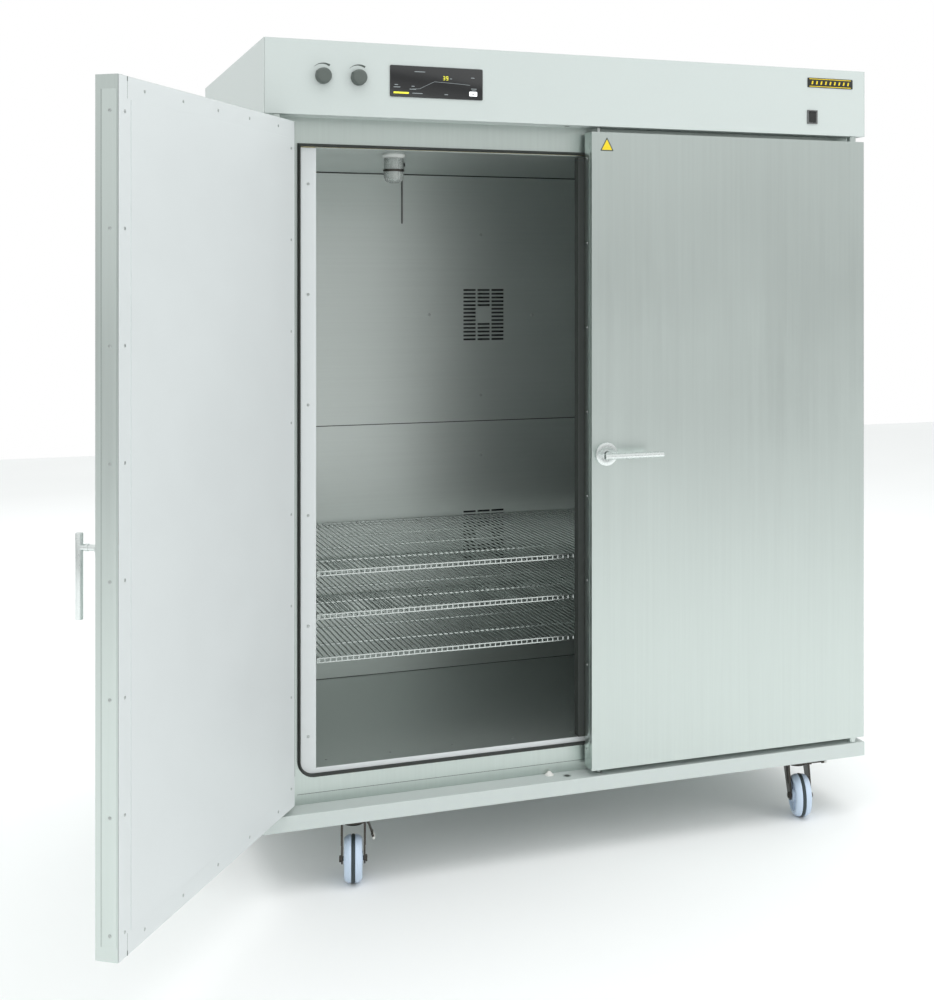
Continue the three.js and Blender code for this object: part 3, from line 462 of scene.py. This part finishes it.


# ---- screws, seams and fittings on the cabinet -------------------------------------------------------
def build_cabinet_fixings():
    screws = Shape()
    for x, z in GRILLE_SCREWS:
        screws.screw((x, BACK_PANEL_Y, z), (0, -1, 0), 4.2, 2.0)
    for side in (-1, 1):
        for k in range(6):
            screws.screw((side * 629, BODY_FRONT_Y, 178 + 238 * k), (0, -1, 0), 3.2, 1.2)
        for z in (180, 560, 980, 1360):
            screws.screw((side * 560, BACK_PANEL_Y, z), (0, -1, 0), 3.6, 1.6)
    for k in range(9):
        screws.screw((-580 + 145 * k, -330, 109), (0, 0, 1), 3.0, 1.0)
    screws.piece("cabinet_screws", SCREW_STEEL, "cabinet", "chamber_steel")

    seams = Shape()
    for side in (-1, 1):
        seams.box((side * 658.0, BODY_FRONT_Y - 0.12, 96), (side * 659.0, BODY_FRONT_Y, 1500))
    seams.box((-653, BODY_FRONT_Y - 0.12, 55), (653, BODY_FRONT_Y, 56))
    seams.piece("frame_seams", PRINT_INK, "cabinet", "brushed_door_steel")

    # Dark gaps above, between and below the two panels of the back wall.
    gaps = Shape()
    upper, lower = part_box("back_panel_upper"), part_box("back_panel_lower")
    for z, reach in ((upper[1].z, 2.6), (upper[0].z, 1.5), (lower[0].z, 2.6)):
        gaps.box((upper[0].x / MM, BACK_PANEL_Y - 0.15, z / MM - reach),
                 (upper[1].x / MM, BACK_PANEL_Y - 0.01, z / MM + reach * 0.4))
    gaps.piece("back_wall_gaps", DARK_PLASTIC_AND_SHADE, "cabinet", "chamber_steel")

    # The square plate on the plenum's rear wall that each fan motor is screwed to.
    plenum_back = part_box("chamber_liner")[1].y / MM - 1.7
    for level in ("upper", "lower"):
        x, _, z = (v / MM for v in JOINTS[f"impeller_{level}_spin"]["pos_m"])
        plate = Shape()
        loops = []
        plenum_face = plenum_back - FAN_PLATE_THICK
        corners = ((True, plenum_face), (False, plenum_face), (False, plenum_back), (True, plenum_back))
        for square, y in corners:
            loop = []
            for k in range(32):
                c, s = math.cos(TAU * k / 32), math.sin(TAU * k / 32)
                reach = FAN_PLATE_HALF / max(abs(c), abs(s)) if square else FAN_PLATE_HOLE
                loop.append(Vector((x + reach * c, y, z + reach * s)))
            loops.append(loop)
        plate.rings(loops, closed=True)
        plate.piece(f"fan_plate_{level}", MOTOR_ENAMEL, "cabinet", "motor_metal")

    # Catch stud on the base ledge, and the keeper rings for the latch rods.
    catch = Shape()
    catch.lathe([(0, 9), (2.5, 8.6), (4.5, 6.5), (9.5, 1.2), (10.5, 0.6), (10.5, 0), (0, 0)],
                (-75, -383, LEDGE_Z + 0.05), (0, 0, 1), 32)
    catch.piece("catch_stud", TIP_WHITE, "cabinet", "painted_housing")
    keepers, hole_shades = Shape(), Shape()
    ring = [(6.2, 0.02), (6.2, 0.3), (9.0, 0.3), (9.6, 0.02)]
    # The flat black discs inside the rings are painted shade standing in for the holes the latch rods drop
    # into.
    hole_shade_profile = [(0, 0.02), (6.2, 0.02), (6.2, 0.1), (0, 0.1)]
    for x in (-ROD_X, ROD_X):
        for z, up in ((LEDGE_Z, 1), (LINTEL_Z, -1)):
            keepers.lathe(ring, (x, ROD_Y, z), (0, 0, up), 32, loop=True)
            hole_shades.lathe(hole_shade_profile, (x, ROD_Y, z), (0, 0, up), 32)
    keepers.piece("rod_keepers", SCREW_STEEL, "cabinet", "brushed_door_steel")
    hole_shades.piece("rod_keeper_hole_shade", DARK_PLASTIC_AND_SHADE, "cabinet", "dark_plastic")


build_cabinet_fixings()


# ---- ceiling lamp and probe -------------------------------------------------------------------------
def build_ceiling_fittings():
    lamp_low, lamp_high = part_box("chamber_lamp")
    x, y = ((a + b) / 2 / MM for a, b in zip(lamp_low.xy, lamp_high.xy))
    glass = Shape()
    outer = [(0, 65.5), (10, 65), (15, 63), (19.5, 59), (21.5, 54), (21.5, 39.5)]
    inner = [(19.5, 39.5), (19.5, 54), (17.5, 58), (13.5, 61), (9, 62.5), (0, 63)]
    glass.lathe(outer + inner, (x, y, CEILING_Z), (0, 0, -1), 96, ripple=0.35, ribs=24)
    upper = [(21.5, 34.5), (21.5, 9), (19.5, 9), (19.5, 34.5)]
    glass.lathe(upper, (x, y, CEILING_Z), (0, 0, -1), 96, ripple=0.35, ribs=24, loop=True)
    glass.piece("lamp_glass_cover", LAMP_GLASS, "cabinet", "lamp_glass", replaces=("chamber_lamp",))
    band = Shape()
    band.lathe([(19, 34.5), (22.6, 34.5), (23.8, 35.5), (23.8, 38.5), (22.6, 39.5), (19, 39.5)],
               (x, y, CEILING_Z), (0, 0, -1), 64, loop=True)
    band.piece("lamp_band", DARK_STEEL, "cabinet", "lamp_glass")
    cap = Shape()
    cap.lathe([(0, 0), (25.6, 0), (25.9, 1), (25.9, 5), (24.5, 7.5), (21, 9), (0, 9)],
              (x, y, CEILING_Z), (0, 0, -1), 64)
    cap.piece("lamp_cap", CERAMIC, "cabinet", "lamp_glass")
    bulb = Shape()
    envelope = [(10, 22), (8.5, 25), (11, 33), (12.5, 40), (11.5, 48), (7, 54), (0, 56)]
    bulb.lathe([(0, 10), (9, 10), (10, 13)] + envelope, (x, y, CEILING_Z), (0, 0, -1), 40)
    bulb.piece("lamp_bulb", CERAMIC, "cabinet", "lamp_glass")

    probe = Shape()
    px, py = -330.0, -54.0
    stem = [(0, 147.8), (1.2, 147.5), (2.2, 146), (2.4, 143), (2.4, 20)]
    nut = [(4.5, 18), (4.5, 9), (7.6, 8), (7.8, 6), (7.8, 0.4), (0, 0.2)]
    probe.lathe(stem + nut, (px, py, CEILING_Z), (0, 0, -1), 24)
    probe.piece("probe_rod", PROBE_STEEL, "cabinet", "probe_steel", replaces=("temperature_probe",))


build_ceiling_fittings()


# ---- wire shelves -----------------------------------------------------------------------------------
def build_shelf(index):
    low, high = (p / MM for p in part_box(f"wire_shelf_{index}"))
    top, front, back, half = high.z, low.y, high.y, high.x
    wire, bar_r = 1.7, 2.5
    grid = Shape()
    for k in range(SHELF_WIRES + 1):
        x = -half + 5.5 + k * (2 * half - 11) / SHELF_WIRES
        grid.rod((x, front + wire, top - wire), (x, back - 1, top - wire), wire, 6, 0.1)
        grid.rod((x, front + wire, top - wire), (x, front + wire, top - 11.8), wire, 6, 0.1)
    bar_z = top - 2 * wire - bar_r + 0.3
    for y in [front + step for step in SHELF_BARS_FROM_FRONT] + [back - 19]:
        grid.rod((-half + 1, y, bar_z), (half - 1, y, bar_z), bar_r, 10, 0.5)
    for z in (top - wire - 0.4, top - 11.2):
        grid.rod((-half + 0.4, front + 1.75, z), (half - 0.4, front + 1.75, z), 1.7, 10, 0.4)
    for side in (-1, 1):
        x = side * (half - 2.6)
        grid.rod((x, front + 2, top - 2.6), (x, back - 0.4, top - 2.6), 2.4, 10, 0.5)
        grid.rod((x, front + 2.4, top - 11.2), (x, front + 2.4, top - 2), 2.0, 8, 0.3)
    grid.rod((-half + 0.5, back - 2.2, top - 2.2), (half - 0.5, back - 2.2, top - 2.2), 2.0, 10, 0.4)
    grid.piece(f"shelf_grid_{index}", WIRE_STEEL, f"shelf_{index}", "polished_wire",
               replaces=(f"wire_shelf_{index}",))


for _index in (1, 2, 3):
    build_shelf(_index)


# ---- control fascia -----------------------------------------------------------------------------------
def build_display():
    low, high = (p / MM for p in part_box("display_screen"))
    glass = Shape()
    outline = rounded([(low.x, low.z), (high.x, low.z), (high.x, high.z), (low.x, high.z)], 3.0)
    glass.prism(outline, (0, FRONT_Y - 0.3, 0), (1, 0, 0), (0, 0, 1), 1.7, bevel=0.4)
    glass.piece("display_glass", GLASS_BLACK, "cabinet", "screen_glass", replaces=("display_screen",))
    face = FRONT_Y - 2.0

    def strip(shape, a, b, width):
        a, b = Vector((a[0], 0, a[1])), Vector((b[0], 0, b[1]))
        along = (b - a).normalized()
        across = Vector((-along.z, 0, along.x)) * width / 2
        corners = [a - across, b - across, b + across, a + across]
        shape.prism([(p.x, p.z) for p in corners], (0, face, 0), (1, 0, 0), (0, 0, 1), 0.12)

    def digit(shape, x, z, size, lit):
        w, h, t = size * 0.5, size, size * 0.14
        places = {
            "a": ((0, h), (w, h)), "b": ((w, h), (w, h / 2)), "c": ((w, h / 2), (w, 0)),
            "d": ((0, 0), (w, 0)), "e": ((0, 0), (0, h / 2)), "f": ((0, h / 2), (0, h)),
            "g": ((0, h / 2), (w, h / 2)),
        }
        for key in lit:
            (ax, az), (bx, bz) = places[key]
            strip(shape, (x + ax, z + az), (x + bx, z + bz), t)

    x0, z0 = low.x, low.z
    curve = Shape()
    route = [(48, 18), (66, 19), (100, 36), (140, 34.5), (182, 32)]
    for a, b in zip(route, route[1:]):
        strip(curve, (x0 + a[0], z0 + a[1]), (x0 + b[0], z0 + b[1]), 0.7)
    captions = (
        (44, 17.5, 14), (10, 26, 8), (8, 21, 15), (55, 56, 24), (184, 24, 13), (186, 20, 10),
        (184, 48, 8), (50, 9, 23), (123, 9, 8), (48, 24, 7), (135, 44, 5),
    )
    for dx, dz, w in captions:
        strip(curve, (x0 + dx, z0 + dz), (x0 + dx + w, z0 + dz), 1.5)
    curve.piece("display_lines", GLOW_GREY, "cabinet", "screen_glass")
    mark = Shape()
    digit(mark, x0 + 120, z0 + 41, 7.5, "abgcd")
    digit(mark, x0 + 127, z0 + 41, 7.5, "afgcdb")
    strip(mark, (x0 + 8, z0 + 9), (x0 + 42, z0 + 9), 3.6)
    mark.piece("display_reading", GLOW_YELLOW, "cabinet", "screen_glass")
    button = Shape()
    corners = [(x0 + 180, z0 + 8), (x0 + 198, z0 + 8), (x0 + 198, z0 + 18), (x0 + 180, z0 + 18)]
    button.prism(rounded(corners, 1.5), (0, face, 0), (1, 0, 0), (0, 0, 1), 0.12)
    button.piece("display_button", GLOW_WHITE, "cabinet", "screen_glass")
    arrow = Shape()
    arrow.prism([(x0 + 187, z0 + 10.5), (x0 + 192, z0 + 13), (x0 + 187, z0 + 15.5)],
                (0, face - 0.12, 0), (1, 0, 0), (0, 0, 1), 0.1)
    arrow.piece("display_arrow", DARK_PLASTIC_AND_SHADE, "cabinet", "screen_glass")


def build_knob(name):
    joint = JOINTS[f"{name}_turn"]
    centre = Vector(joint["pos_m"]) / MM
    knob = Shape()
    profile = [
        (0, 16.8), (12.6, 16.8), (14.4, 16.3), (15.6, 15.2), (16.4, 13), (16.9, 8), (17.4, 1.2),
        (17.2, 0.6), (0, 0.6),
    ]
    knob.lathe(profile, centre, (0, -1, 0), 72, ripple=0.18, ribs=36)
    knob.lathe([(0, 16.6), (11.6, 16.6), (11.9, 17.0), (11.2, 17.0), (0, 16.9)], centre, (0, -1, 0), 48)
    knob.piece(f"{name}_cap", KNOB_PLASTIC, name, "dark_plastic", replaces=(name,))
    tilt = Matrix.Rotation(math.radians(POINTER_DEG), 4, "Y")
    turn = Matrix.Translation(centre) @ tilt @ Matrix.Translation(-centre)
    pointer = Shape()
    x, y, z = centre
    pointer.prism(rounded([(-2.4, 12.5), (2.4, 12.5), (1.6, 18.4), (-1.6, 18.4)], 0.8),
                  (x, y - 2.0, z), (1, 0, 0), (0, 0, 1), 14.6, bevel=0.4, turn=turn)
    pointer.piece(f"{name}_pointer", KNOB_PLASTIC, name, "dark_plastic")

    scale = Shape()
    steps = 28
    inner, outer = [], []
    for k in range(steps + 1):
        t = k / steps
        angle = math.radians(-46 + 78 * t)
        thick = 0.5 + 4.2 * t ** 1.3
        for rim, r in ((inner, 27.0 - thick / 2), (outer, 27.0 + thick / 2)):
            rim.append((x + r * math.sin(angle), z + r * math.cos(angle)))
    scale.prism(inner + outer[::-1], (0, FRONT_Y, 0), (1, 0, 0), (0, 0, 1), 0.15)
    scale.piece(f"{name}_scale", PRINT_INK, "cabinet", "painted_housing")


def build_nameplate():
    low, high = (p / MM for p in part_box("nameplate"))
    plate = Shape()
    outline = rounded([(low.x, low.z), (high.x, low.z), (high.x, high.z), (low.x, high.z)], 1.5)
    plate.prism(outline, (0, FRONT_Y - 0.3, 0), (1, 0, 0), (0, 0, 1), 0.9, bevel=0.2)
    plate.piece("blank_nameplate", DARK_PLASTIC_AND_SHADE, "cabinet", "dark_plastic", replaces=("nameplate",))
    lines = Shape()
    face = FRONT_Y - 1.2
    for z in (low.z + 2.6, high.z - 2.6):
        lines.box((low.x + 5, face - 0.1, z - 0.8), (high.x - 5, face, z + 0.8))
    for k in range(9):
        x = low.x + 13 + k * 12.5
        foot, head = low.z + 7.5, high.z - 7.5
        stripe = [(x - 2.6, foot), (x + 1.4, foot), (x + 3.2, head), (x - 0.8, head)]
        lines.prism(stripe, (0, face, 0), (1, 0, 0), (0, 0, 1), 0.1)
    lines.piece("nameplate_stripes", STICKER_YELLOW, "cabinet", "dark_plastic")


build_display()
for _name in ("air_inlet_knob", "air_outlet_knob"):
    build_knob(_name)
build_nameplate()


# ---- doors ---------------------------------------------------------------------------------------------
# Both are drawn shut; the left one's pieces are then swung open with its frame.
def build_door(word, side):
    body = f"{word}_door"
    place = LEFT_DOOR if side < 0 else None
    edge = side * MEETING_EDGE
    out = -side
    heads = Shape()
    for k in range(SCREW_COUNT):
        z = SCREW_LOW_Z + SCREW_PITCH * k
        heads.screw((edge + out * 0.5, -403, z), (out, 0, 0), 3.0, 1.3)
        heads.dome((side * 713.5, DOOR_FLANGE_Y, z), (0, 1, 0), 3.0, 1.1)
        heads.dome((side * 29.5, DOOR_FLANGE_Y, z), (0, 1, 0), 3.0, 1.1)
    for k in range(5):
        x = side * (95 + 138 * k)
        heads.dome((x, DOOR_FLANGE_Y, DOOR_BOTTOM + 19), (0, 1, 0), 3.0, 1.1)
        heads.dome((x, DOOR_FLANGE_Y, DOOR_TOP - 19), (0, 1, 0), 3.0, 1.1)
    heads.piece(f"{word}_door_rivets", SCREW_STEEL, body, "brushed_door_steel", place)

    # The cover strip let into the free edge, and the folded corner caps at its ends.
    strip = Shape()
    strip_low, strip_high = DOOR_BOTTOM + EDGE_STRIP_END, DOOR_TOP - EDGE_STRIP_END
    strip.box((edge, -418, strip_low), (edge + out * 0.5, -390.5, strip_high), bevel=0.15)
    strip.piece(f"{word}_edge_strip", DOOR_STEEL, body, "brushed_door_steel", place)
    notches = Shape()
    for z0, z1 in ((DOOR_BOTTOM + 1, DOOR_BOTTOM + 9), (DOOR_TOP - 9, DOOR_TOP - 1)):
        notches.box((side * 36.5, DOOR_FLANGE_Y, z0), (side * 39.0, DOOR_FLANGE_Y + 0.12, z1))
    for z0, z1 in ((DOOR_BOTTOM + 1, DOOR_BOTTOM + 38), (DOOR_TOP - 38, DOOR_TOP - 1)):
        notches.box((side * 37.5, DOOR_FLANGE_Y, z0), (side * 38.1, DOOR_FLANGE_Y + 0.08, z1))
    notches.box((edge, -419.3, strip_low), (edge + out * 0.08, -418.7, strip_high))
    notches.piece(f"{word}_corner_notches", PRINT_INK, body, "brushed_door_steel", place)

    spindle_z = SPINDLE_Z[word]
    x = side * SPINDLE_X
    rosette = Shape()
    disc = [(6.9, 0.3), (26.2, 0.3), (27.0, 1.0), (27.0, 4.4), (26.2, 6.0), (24.5, 6.7)]
    collar = [(14.5, 7.0), (12.5, 6.6), (10.5, 7.0), (6.9, 7.0)]
    rosette.lathe(disc + collar, (x, FRONT_Y, spindle_z), (0, -1, 0), 64, loop=True)
    rosette.piece(f"{word}_rosette", HANDLE_STEEL, body, "brushed_door_steel", place,
                  replaces=(f"{word}_door_rosette",))

    # Handle, with its long end down on the open door and level on the shut one.
    handle = Shape()
    grip = FRONT_Y - 50
    along = Vector((0, 0, -1)) if word == "left" else Vector((side, 0, 0))
    centre = Vector((x, grip, spindle_z))
    handle.rod(centre - along * HANDLE_TAIL, centre + along * HANDLE_REACH, HANDLE_RADIUS, 40, 1.0)
    handle.rod((x, grip + 4, spindle_z), (x, FRONT_Y + 12, spindle_z), 5.6, 32, 0.3)
    sleeve = [(5.6, 0), (6.4, 0), (6.5, 0.6), (6.5, 5.4), (6.2, 6), (5.6, 6)]
    handle.lathe(sleeve, (x, FRONT_Y - 38, spindle_z), (0, 1, 0), 32, loop=True)
    handle.lathe([(0, 0), (14, 0), (14, 9), (0, 9)], (x, FRONT_Y + 6, spindle_z), (0, 1, 0), 40)
    handle.piece(f"{word}_handle_bar", HANDLE_STEEL, f"{word}_handle", "handle_steel", place,
                 replaces=(f"{word}_door_handle",))


build_door("left", -1)
build_door("right", 1)


def build_sticker():
    """A plain triangle, with no symbol on it."""
    cx, low, high, half = 48.0, 1455.0, 1487.0, 17.0
    border, field = Shape(), Shape()
    border.prism(rounded([(cx - half, low), (cx + half, low), (cx, high)], 3.0), (0, FRONT_Y, 0),
                 (1, 0, 0), (0, 0, 1), 0.12)
    border.piece("sticker_border", PRINT_INK, "right_door", "brushed_door_steel")
    field.prism(rounded([(cx - half + 4.2, low + 2.6), (cx + half - 4.2, low + 2.6), (cx, high - 5.4)], 2.0),
                (0, FRONT_Y - 0.12, 0), (1, 0, 0), (0, 0, 1), 0.08)
    field.piece("sticker_field", STICKER_YELLOW, "right_door", "brushed_door_steel")


build_sticker()


# ---- castors ---------------------------------------------------------------------------------------------
def build_castor(end):
    swivel = JOINTS[f"castor_{end}_swivel"]
    roll = JOINTS[f"castor_{end}_roll"]
    turn = math.atan2(roll["axis"][1], roll["axis"][0])
    x, y = swivel["pos_m"][0], swivel["pos_m"][1]
    place = Matrix.Translation((x, y, 0)) @ Matrix.Rotation(turn, 4, "Z")
    trail, axle_z, crown = -38.0, -90.0, -14.6

    bolts = Shape()
    bolt_head = [(0, 5.0), (4.6, 5.0), (5.4, 4.2), (5.4, 0), (0, 0)]
    washer = [(0, 0.9), (7.0, 0.9), (7.4, 0.5), (7.4, 0), (0, 0)]
    for bx in (-38, 38):
        for by in (-32, 32):
            bolts.lathe(bolt_head, (bx, by, -4.3), (0, 0, -1), 6)
            bolts.lathe(washer, (bx, by, -4.3), (0, 0, -1), 28)
    bolts.piece(f"castor_bolts_{end}", SCREW_STEEL, "cabinet", "castor_metal", Matrix.Translation((x, y, 0)))

    fork = Shape()
    fork.prism(rounded([(-26.2, -29.5), (26.2, -29.5), (26.2, 25.5), (-26.2, 25.5)], 9.0), (0, 0, crown - 5),
               (1, 0, 0), (0, 1, 0), 5.0, bevel=1.2)
    bearing = [(0, 0), (22, 0), (23.5, -1.2), (24, -4), (22.5, -7), (16, -9), (0, -9.4)]
    fork.lathe(bearing, (0, 0, crown - 4.5), (0, 0, 1), 40)
    leg = rounded([
        (25.5, crown - 1.4), (25.5, crown - 12), (trail + 12, axle_z - 9.6), (trail - 1, axle_z - 13.4),
        (trail - 12.5, axle_z - 4), (trail - 8, axle_z + 14), (-29.5, crown - 6), (-29.5, crown - 1.4),
    ], 6.0)
    for start in (22.5, -26.3):
        fork.prism(leg, (start, 0, 0), (0, 1, 0), (0, 0, 1), 3.8, bevel=0.9)
    fork.rod((-26.4, trail, axle_z), (26.4, trail, axle_z), 4.95, 24, 0.3)
    axle_nut = [(0, 4.0), (6.2, 4.0), (7.2, 3.0), (7.2, 0), (0, 0)]
    swage = rounded([(-18, crown - 8), (8, crown - 8), (-22, axle_z + 22), (-30, axle_z + 24)], 4.0)
    for side, start in ((-1, -27.2), (1, 26.3)):
        fork.lathe(axle_nut, (side * 26.4, trail, axle_z), (side, 0, 0), 6)
        fork.prism(swage, (start, 0, 0), (0, 1, 0), (0, 0, 1), 0.9, bevel=0.3)
    fork.piece(f"castor_yoke_{end}", DARK_STEEL, f"fork_{end}", "castor_metal", place,
               replaces=(f"castor_fork_{end}",))

    wheel = Shape()
    centre = (0, trail, axle_z)
    rim = [(5.4, 3.6), (46.5, 3.6), (49.2, 4.4), (49.6, 6.5), (49.0, 10), (47.2, 14.2), (44.4, 17.8)]
    dish = [(42, 19.2), (38.5, 19.6), (36.5, 18.6), (35.2, 13.5), (33.5, 12.2), (18.5, 12.2)]
    hub = [(16.2, 13.6), (15, 19.6), (13.4, 20.8), (8.6, 20.8), (5.4, 20.6)]
    to_hub, from_hub = Matrix.Translation(-Vector(centre)), Matrix.Translation(centre)
    for side in (-1, 1):
        wheel.lathe(rim + dish + hub, centre, (side, 0, 0), 72, loop=True)
        for k in range(8):
            rib = from_hub @ Matrix.Rotation(TAU * k / 8, 4, "X") @ to_hub
            low = (side * 11.5, trail - 1.2, axle_z + 15.5)
            high = (side * 16.4, trail + 1.2, axle_z + 36.0)
            wheel.box(low, high, 0.5, rib)
    wheel.piece(f"castor_disc_{end}", WHEEL_BLUE, f"wheel_{end}", "wheel_polyamide", place,
                replaces=(f"castor_wheel_{end}",))
    tread = Shape()
    side_out = [(43, 3.55), (48.6, 3.55), (49.7, 2.8), (50.0, 1.2)]
    side_in = [(r, -along) for r, along in reversed(side_out)]
    tread.lathe(side_out + side_in, centre, (1, 0, 0), 72, loop=True)
    tread.piece(f"castor_tread_{end}", TREAD, f"wheel_{end}", "wheel_polyamide", place)

    press = JOINTS.get(f"brake_{end}_press")
    if press is None:
        return
    pressed = press["range_deg"][0] < 0
    tilt = math.radians(70 if pressed else -5)
    hinge = Matrix.Translation(Vector((31.5, -8, crown - 6)) * MM) @ Matrix.Rotation(tilt, 4, "Y")
    lever = Shape()
    lever.rod((0, -9.8, 0), (0, 9.8, 0), 3.4, 20, 0.4)
    lever.box((0.5, -8.8, -1.6), (36, 8.8, 1.6), 0.8)
    lever.box((26.4, -11.6, -2.8), (35.0, 11.6, 2.8), 1.1)
    for k in range(4):
        lever.box((10 + 4 * k, -6.5, 1.4), (11.4 + 4 * k, 6.5, 2.0), 0.2)
    lever.piece(f"brake_lever_{end}", DARK_STEEL, f"pedal_{end}", "castor_metal", place @ hinge,
                replaces=(f"brake_pedal_{end}",))
    tip = Shape()
    tip.box((33.5, -11.8, -2.9), (39.8, 11.8, 2.9), 1.3)
    tip.box((27.0, -10.8, 2.5), (35.0, 10.8, 3.0), 0.2)
    tip.piece(f"brake_tip_{end}", TIP_WHITE, f"pedal_{end}", "castor_metal", place @ hinge)


for _end in CASTORS:
    build_castor(_end)


# ---- stage, camera and light -------------------------------------------------------------------------------
# Each stop is (height of the ray, from 0 straight down to 1 straight up; brightness of the room there).
ROOM_STOPS = ((0.0, 0.80), (0.43, 0.74), (0.48, 0.50), (0.515, 0.58), (0.56, 1.12), (1.0, 1.12))
ROOM_STRENGTH = 0.85
CAMERA_PLACE = (-1.27615, -3.41942, 1.16058)
CAMERA_YAW_DEG = -20.109
LENS_MM, SENSOR_MM = 51.545, 36.0
LENS_SHIFT = (-0.04534, -0.21975)
# name, place, aim, size, watts
LAMPS = (
    ("overhead", (0.0, -0.6, 4.2), (0, -0.2, 0), (5.0, 4.0), 88),
    ("front_left", (-2.6, -4.6, 1.6), (-0.2, 0, 0.6), (2.2, 2.6), 19),
    ("front_right", (2.8, -3.0, 2.2), (0.5, 0, 1.0), (1.6, 2.2), 24),
    ("behind", (0.0, 4.2, 2.8), (0, 0, 0.6), (5.0, 2.5), 30),
)


def build_stage():
    bpy.ops.mesh.primitive_plane_add(size=14.0, location=(0.4, 0.6, CAD_BOX[0].z))
    floor = bpy.context.active_object
    floor.name = "floor"
    look, tree, shader = material("pale_floor")
    tint(tree, shader, noise(tree, (0.8, 0.8, 0.8), 2.0), (0.92, 0.93, 0.93), 0.01)
    shader.inputs["Roughness"].default_value = 0.75
    floor.data.materials.append(look)


def build_world():
    world = bpy.data.worlds.new("studio")
    bpy.context.scene.world = world
    world.use_nodes = True
    tree = world.node_tree
    tree.nodes.clear()
    output = tree.nodes.new("ShaderNodeOutputWorld")
    coords = tree.nodes.new("ShaderNodeTexCoord")
    axes = tree.nodes.new("ShaderNodeSeparateXYZ")
    tree.links.new(coords.outputs["Generated"], axes.inputs["Vector"])
    height = tree.nodes.new("ShaderNodeMapRange")
    height.inputs["From Min"].default_value = -1.0
    height.inputs["From Max"].default_value = 1.0
    tree.links.new(axes.outputs["Z"], height.inputs["Value"])
    ramp = tree.nodes.new("ShaderNodeValToRGB")
    tree.links.new(height.outputs["Result"], ramp.inputs["Fac"])
    elements = ramp.color_ramp.elements
    while len(elements) < len(ROOM_STOPS):
        elements.new(0.5)
    for element, (place, value) in zip(elements, ROOM_STOPS):
        element.position = place
        element.color = (value * 0.985, value, value * 0.995, 1.0)
    room = tree.nodes.new("ShaderNodeBackground")
    room.inputs["Strength"].default_value = ROOM_STRENGTH
    tree.links.new(ramp.outputs["Color"], room.inputs["Color"])
    white = tree.nodes.new("ShaderNodeBackground")
    white.inputs["Color"].default_value = (1.0, 1.0, 1.0, 1.0)
    white.inputs["Strength"].default_value = 1.0
    path = tree.nodes.new("ShaderNodeLightPath")
    mix = tree.nodes.new("ShaderNodeMixShader")
    tree.links.new(path.outputs["Is Camera Ray"], mix.inputs["Fac"])
    tree.links.new(room.outputs["Background"], mix.inputs[1])
    tree.links.new(white.outputs["Background"], mix.inputs[2])
    tree.links.new(mix.outputs["Shader"], output.inputs["Surface"])


def soft_light(name, place, target, size, power):
    """A panel lamp that polished metal doesn't mirror."""
    lamp = bpy.data.lights.new(name, "AREA")
    lamp.shape = "RECTANGLE"
    lamp.size, lamp.size_y = size
    lamp.energy = power
    made = bpy.data.objects.new(name, lamp)
    made.location = place
    made.rotation_euler = (Vector(target) - Vector(place)).to_track_quat("-Z", "Y").to_euler()
    made.visible_glossy = False
    bpy.context.scene.collection.objects.link(made)


def build_camera():
    data = bpy.data.cameras.new("camera")
    data.sensor_width = SENSOR_MM
    data.lens = LENS_MM
    data.shift_x, data.shift_y = LENS_SHIFT
    camera = bpy.data.objects.new("camera", data)
    camera.location = CAMERA_PLACE
    camera.rotation_euler = (math.radians(90), 0, math.radians(CAMERA_YAW_DEG))
    bpy.context.scene.collection.objects.link(camera)
    bpy.context.scene.camera = camera


build_stage()
build_world()
for _lamp in LAMPS:
    soft_light(*_lamp)
build_camera()
bpy.context.scene.view_settings.view_transform = "Standard"
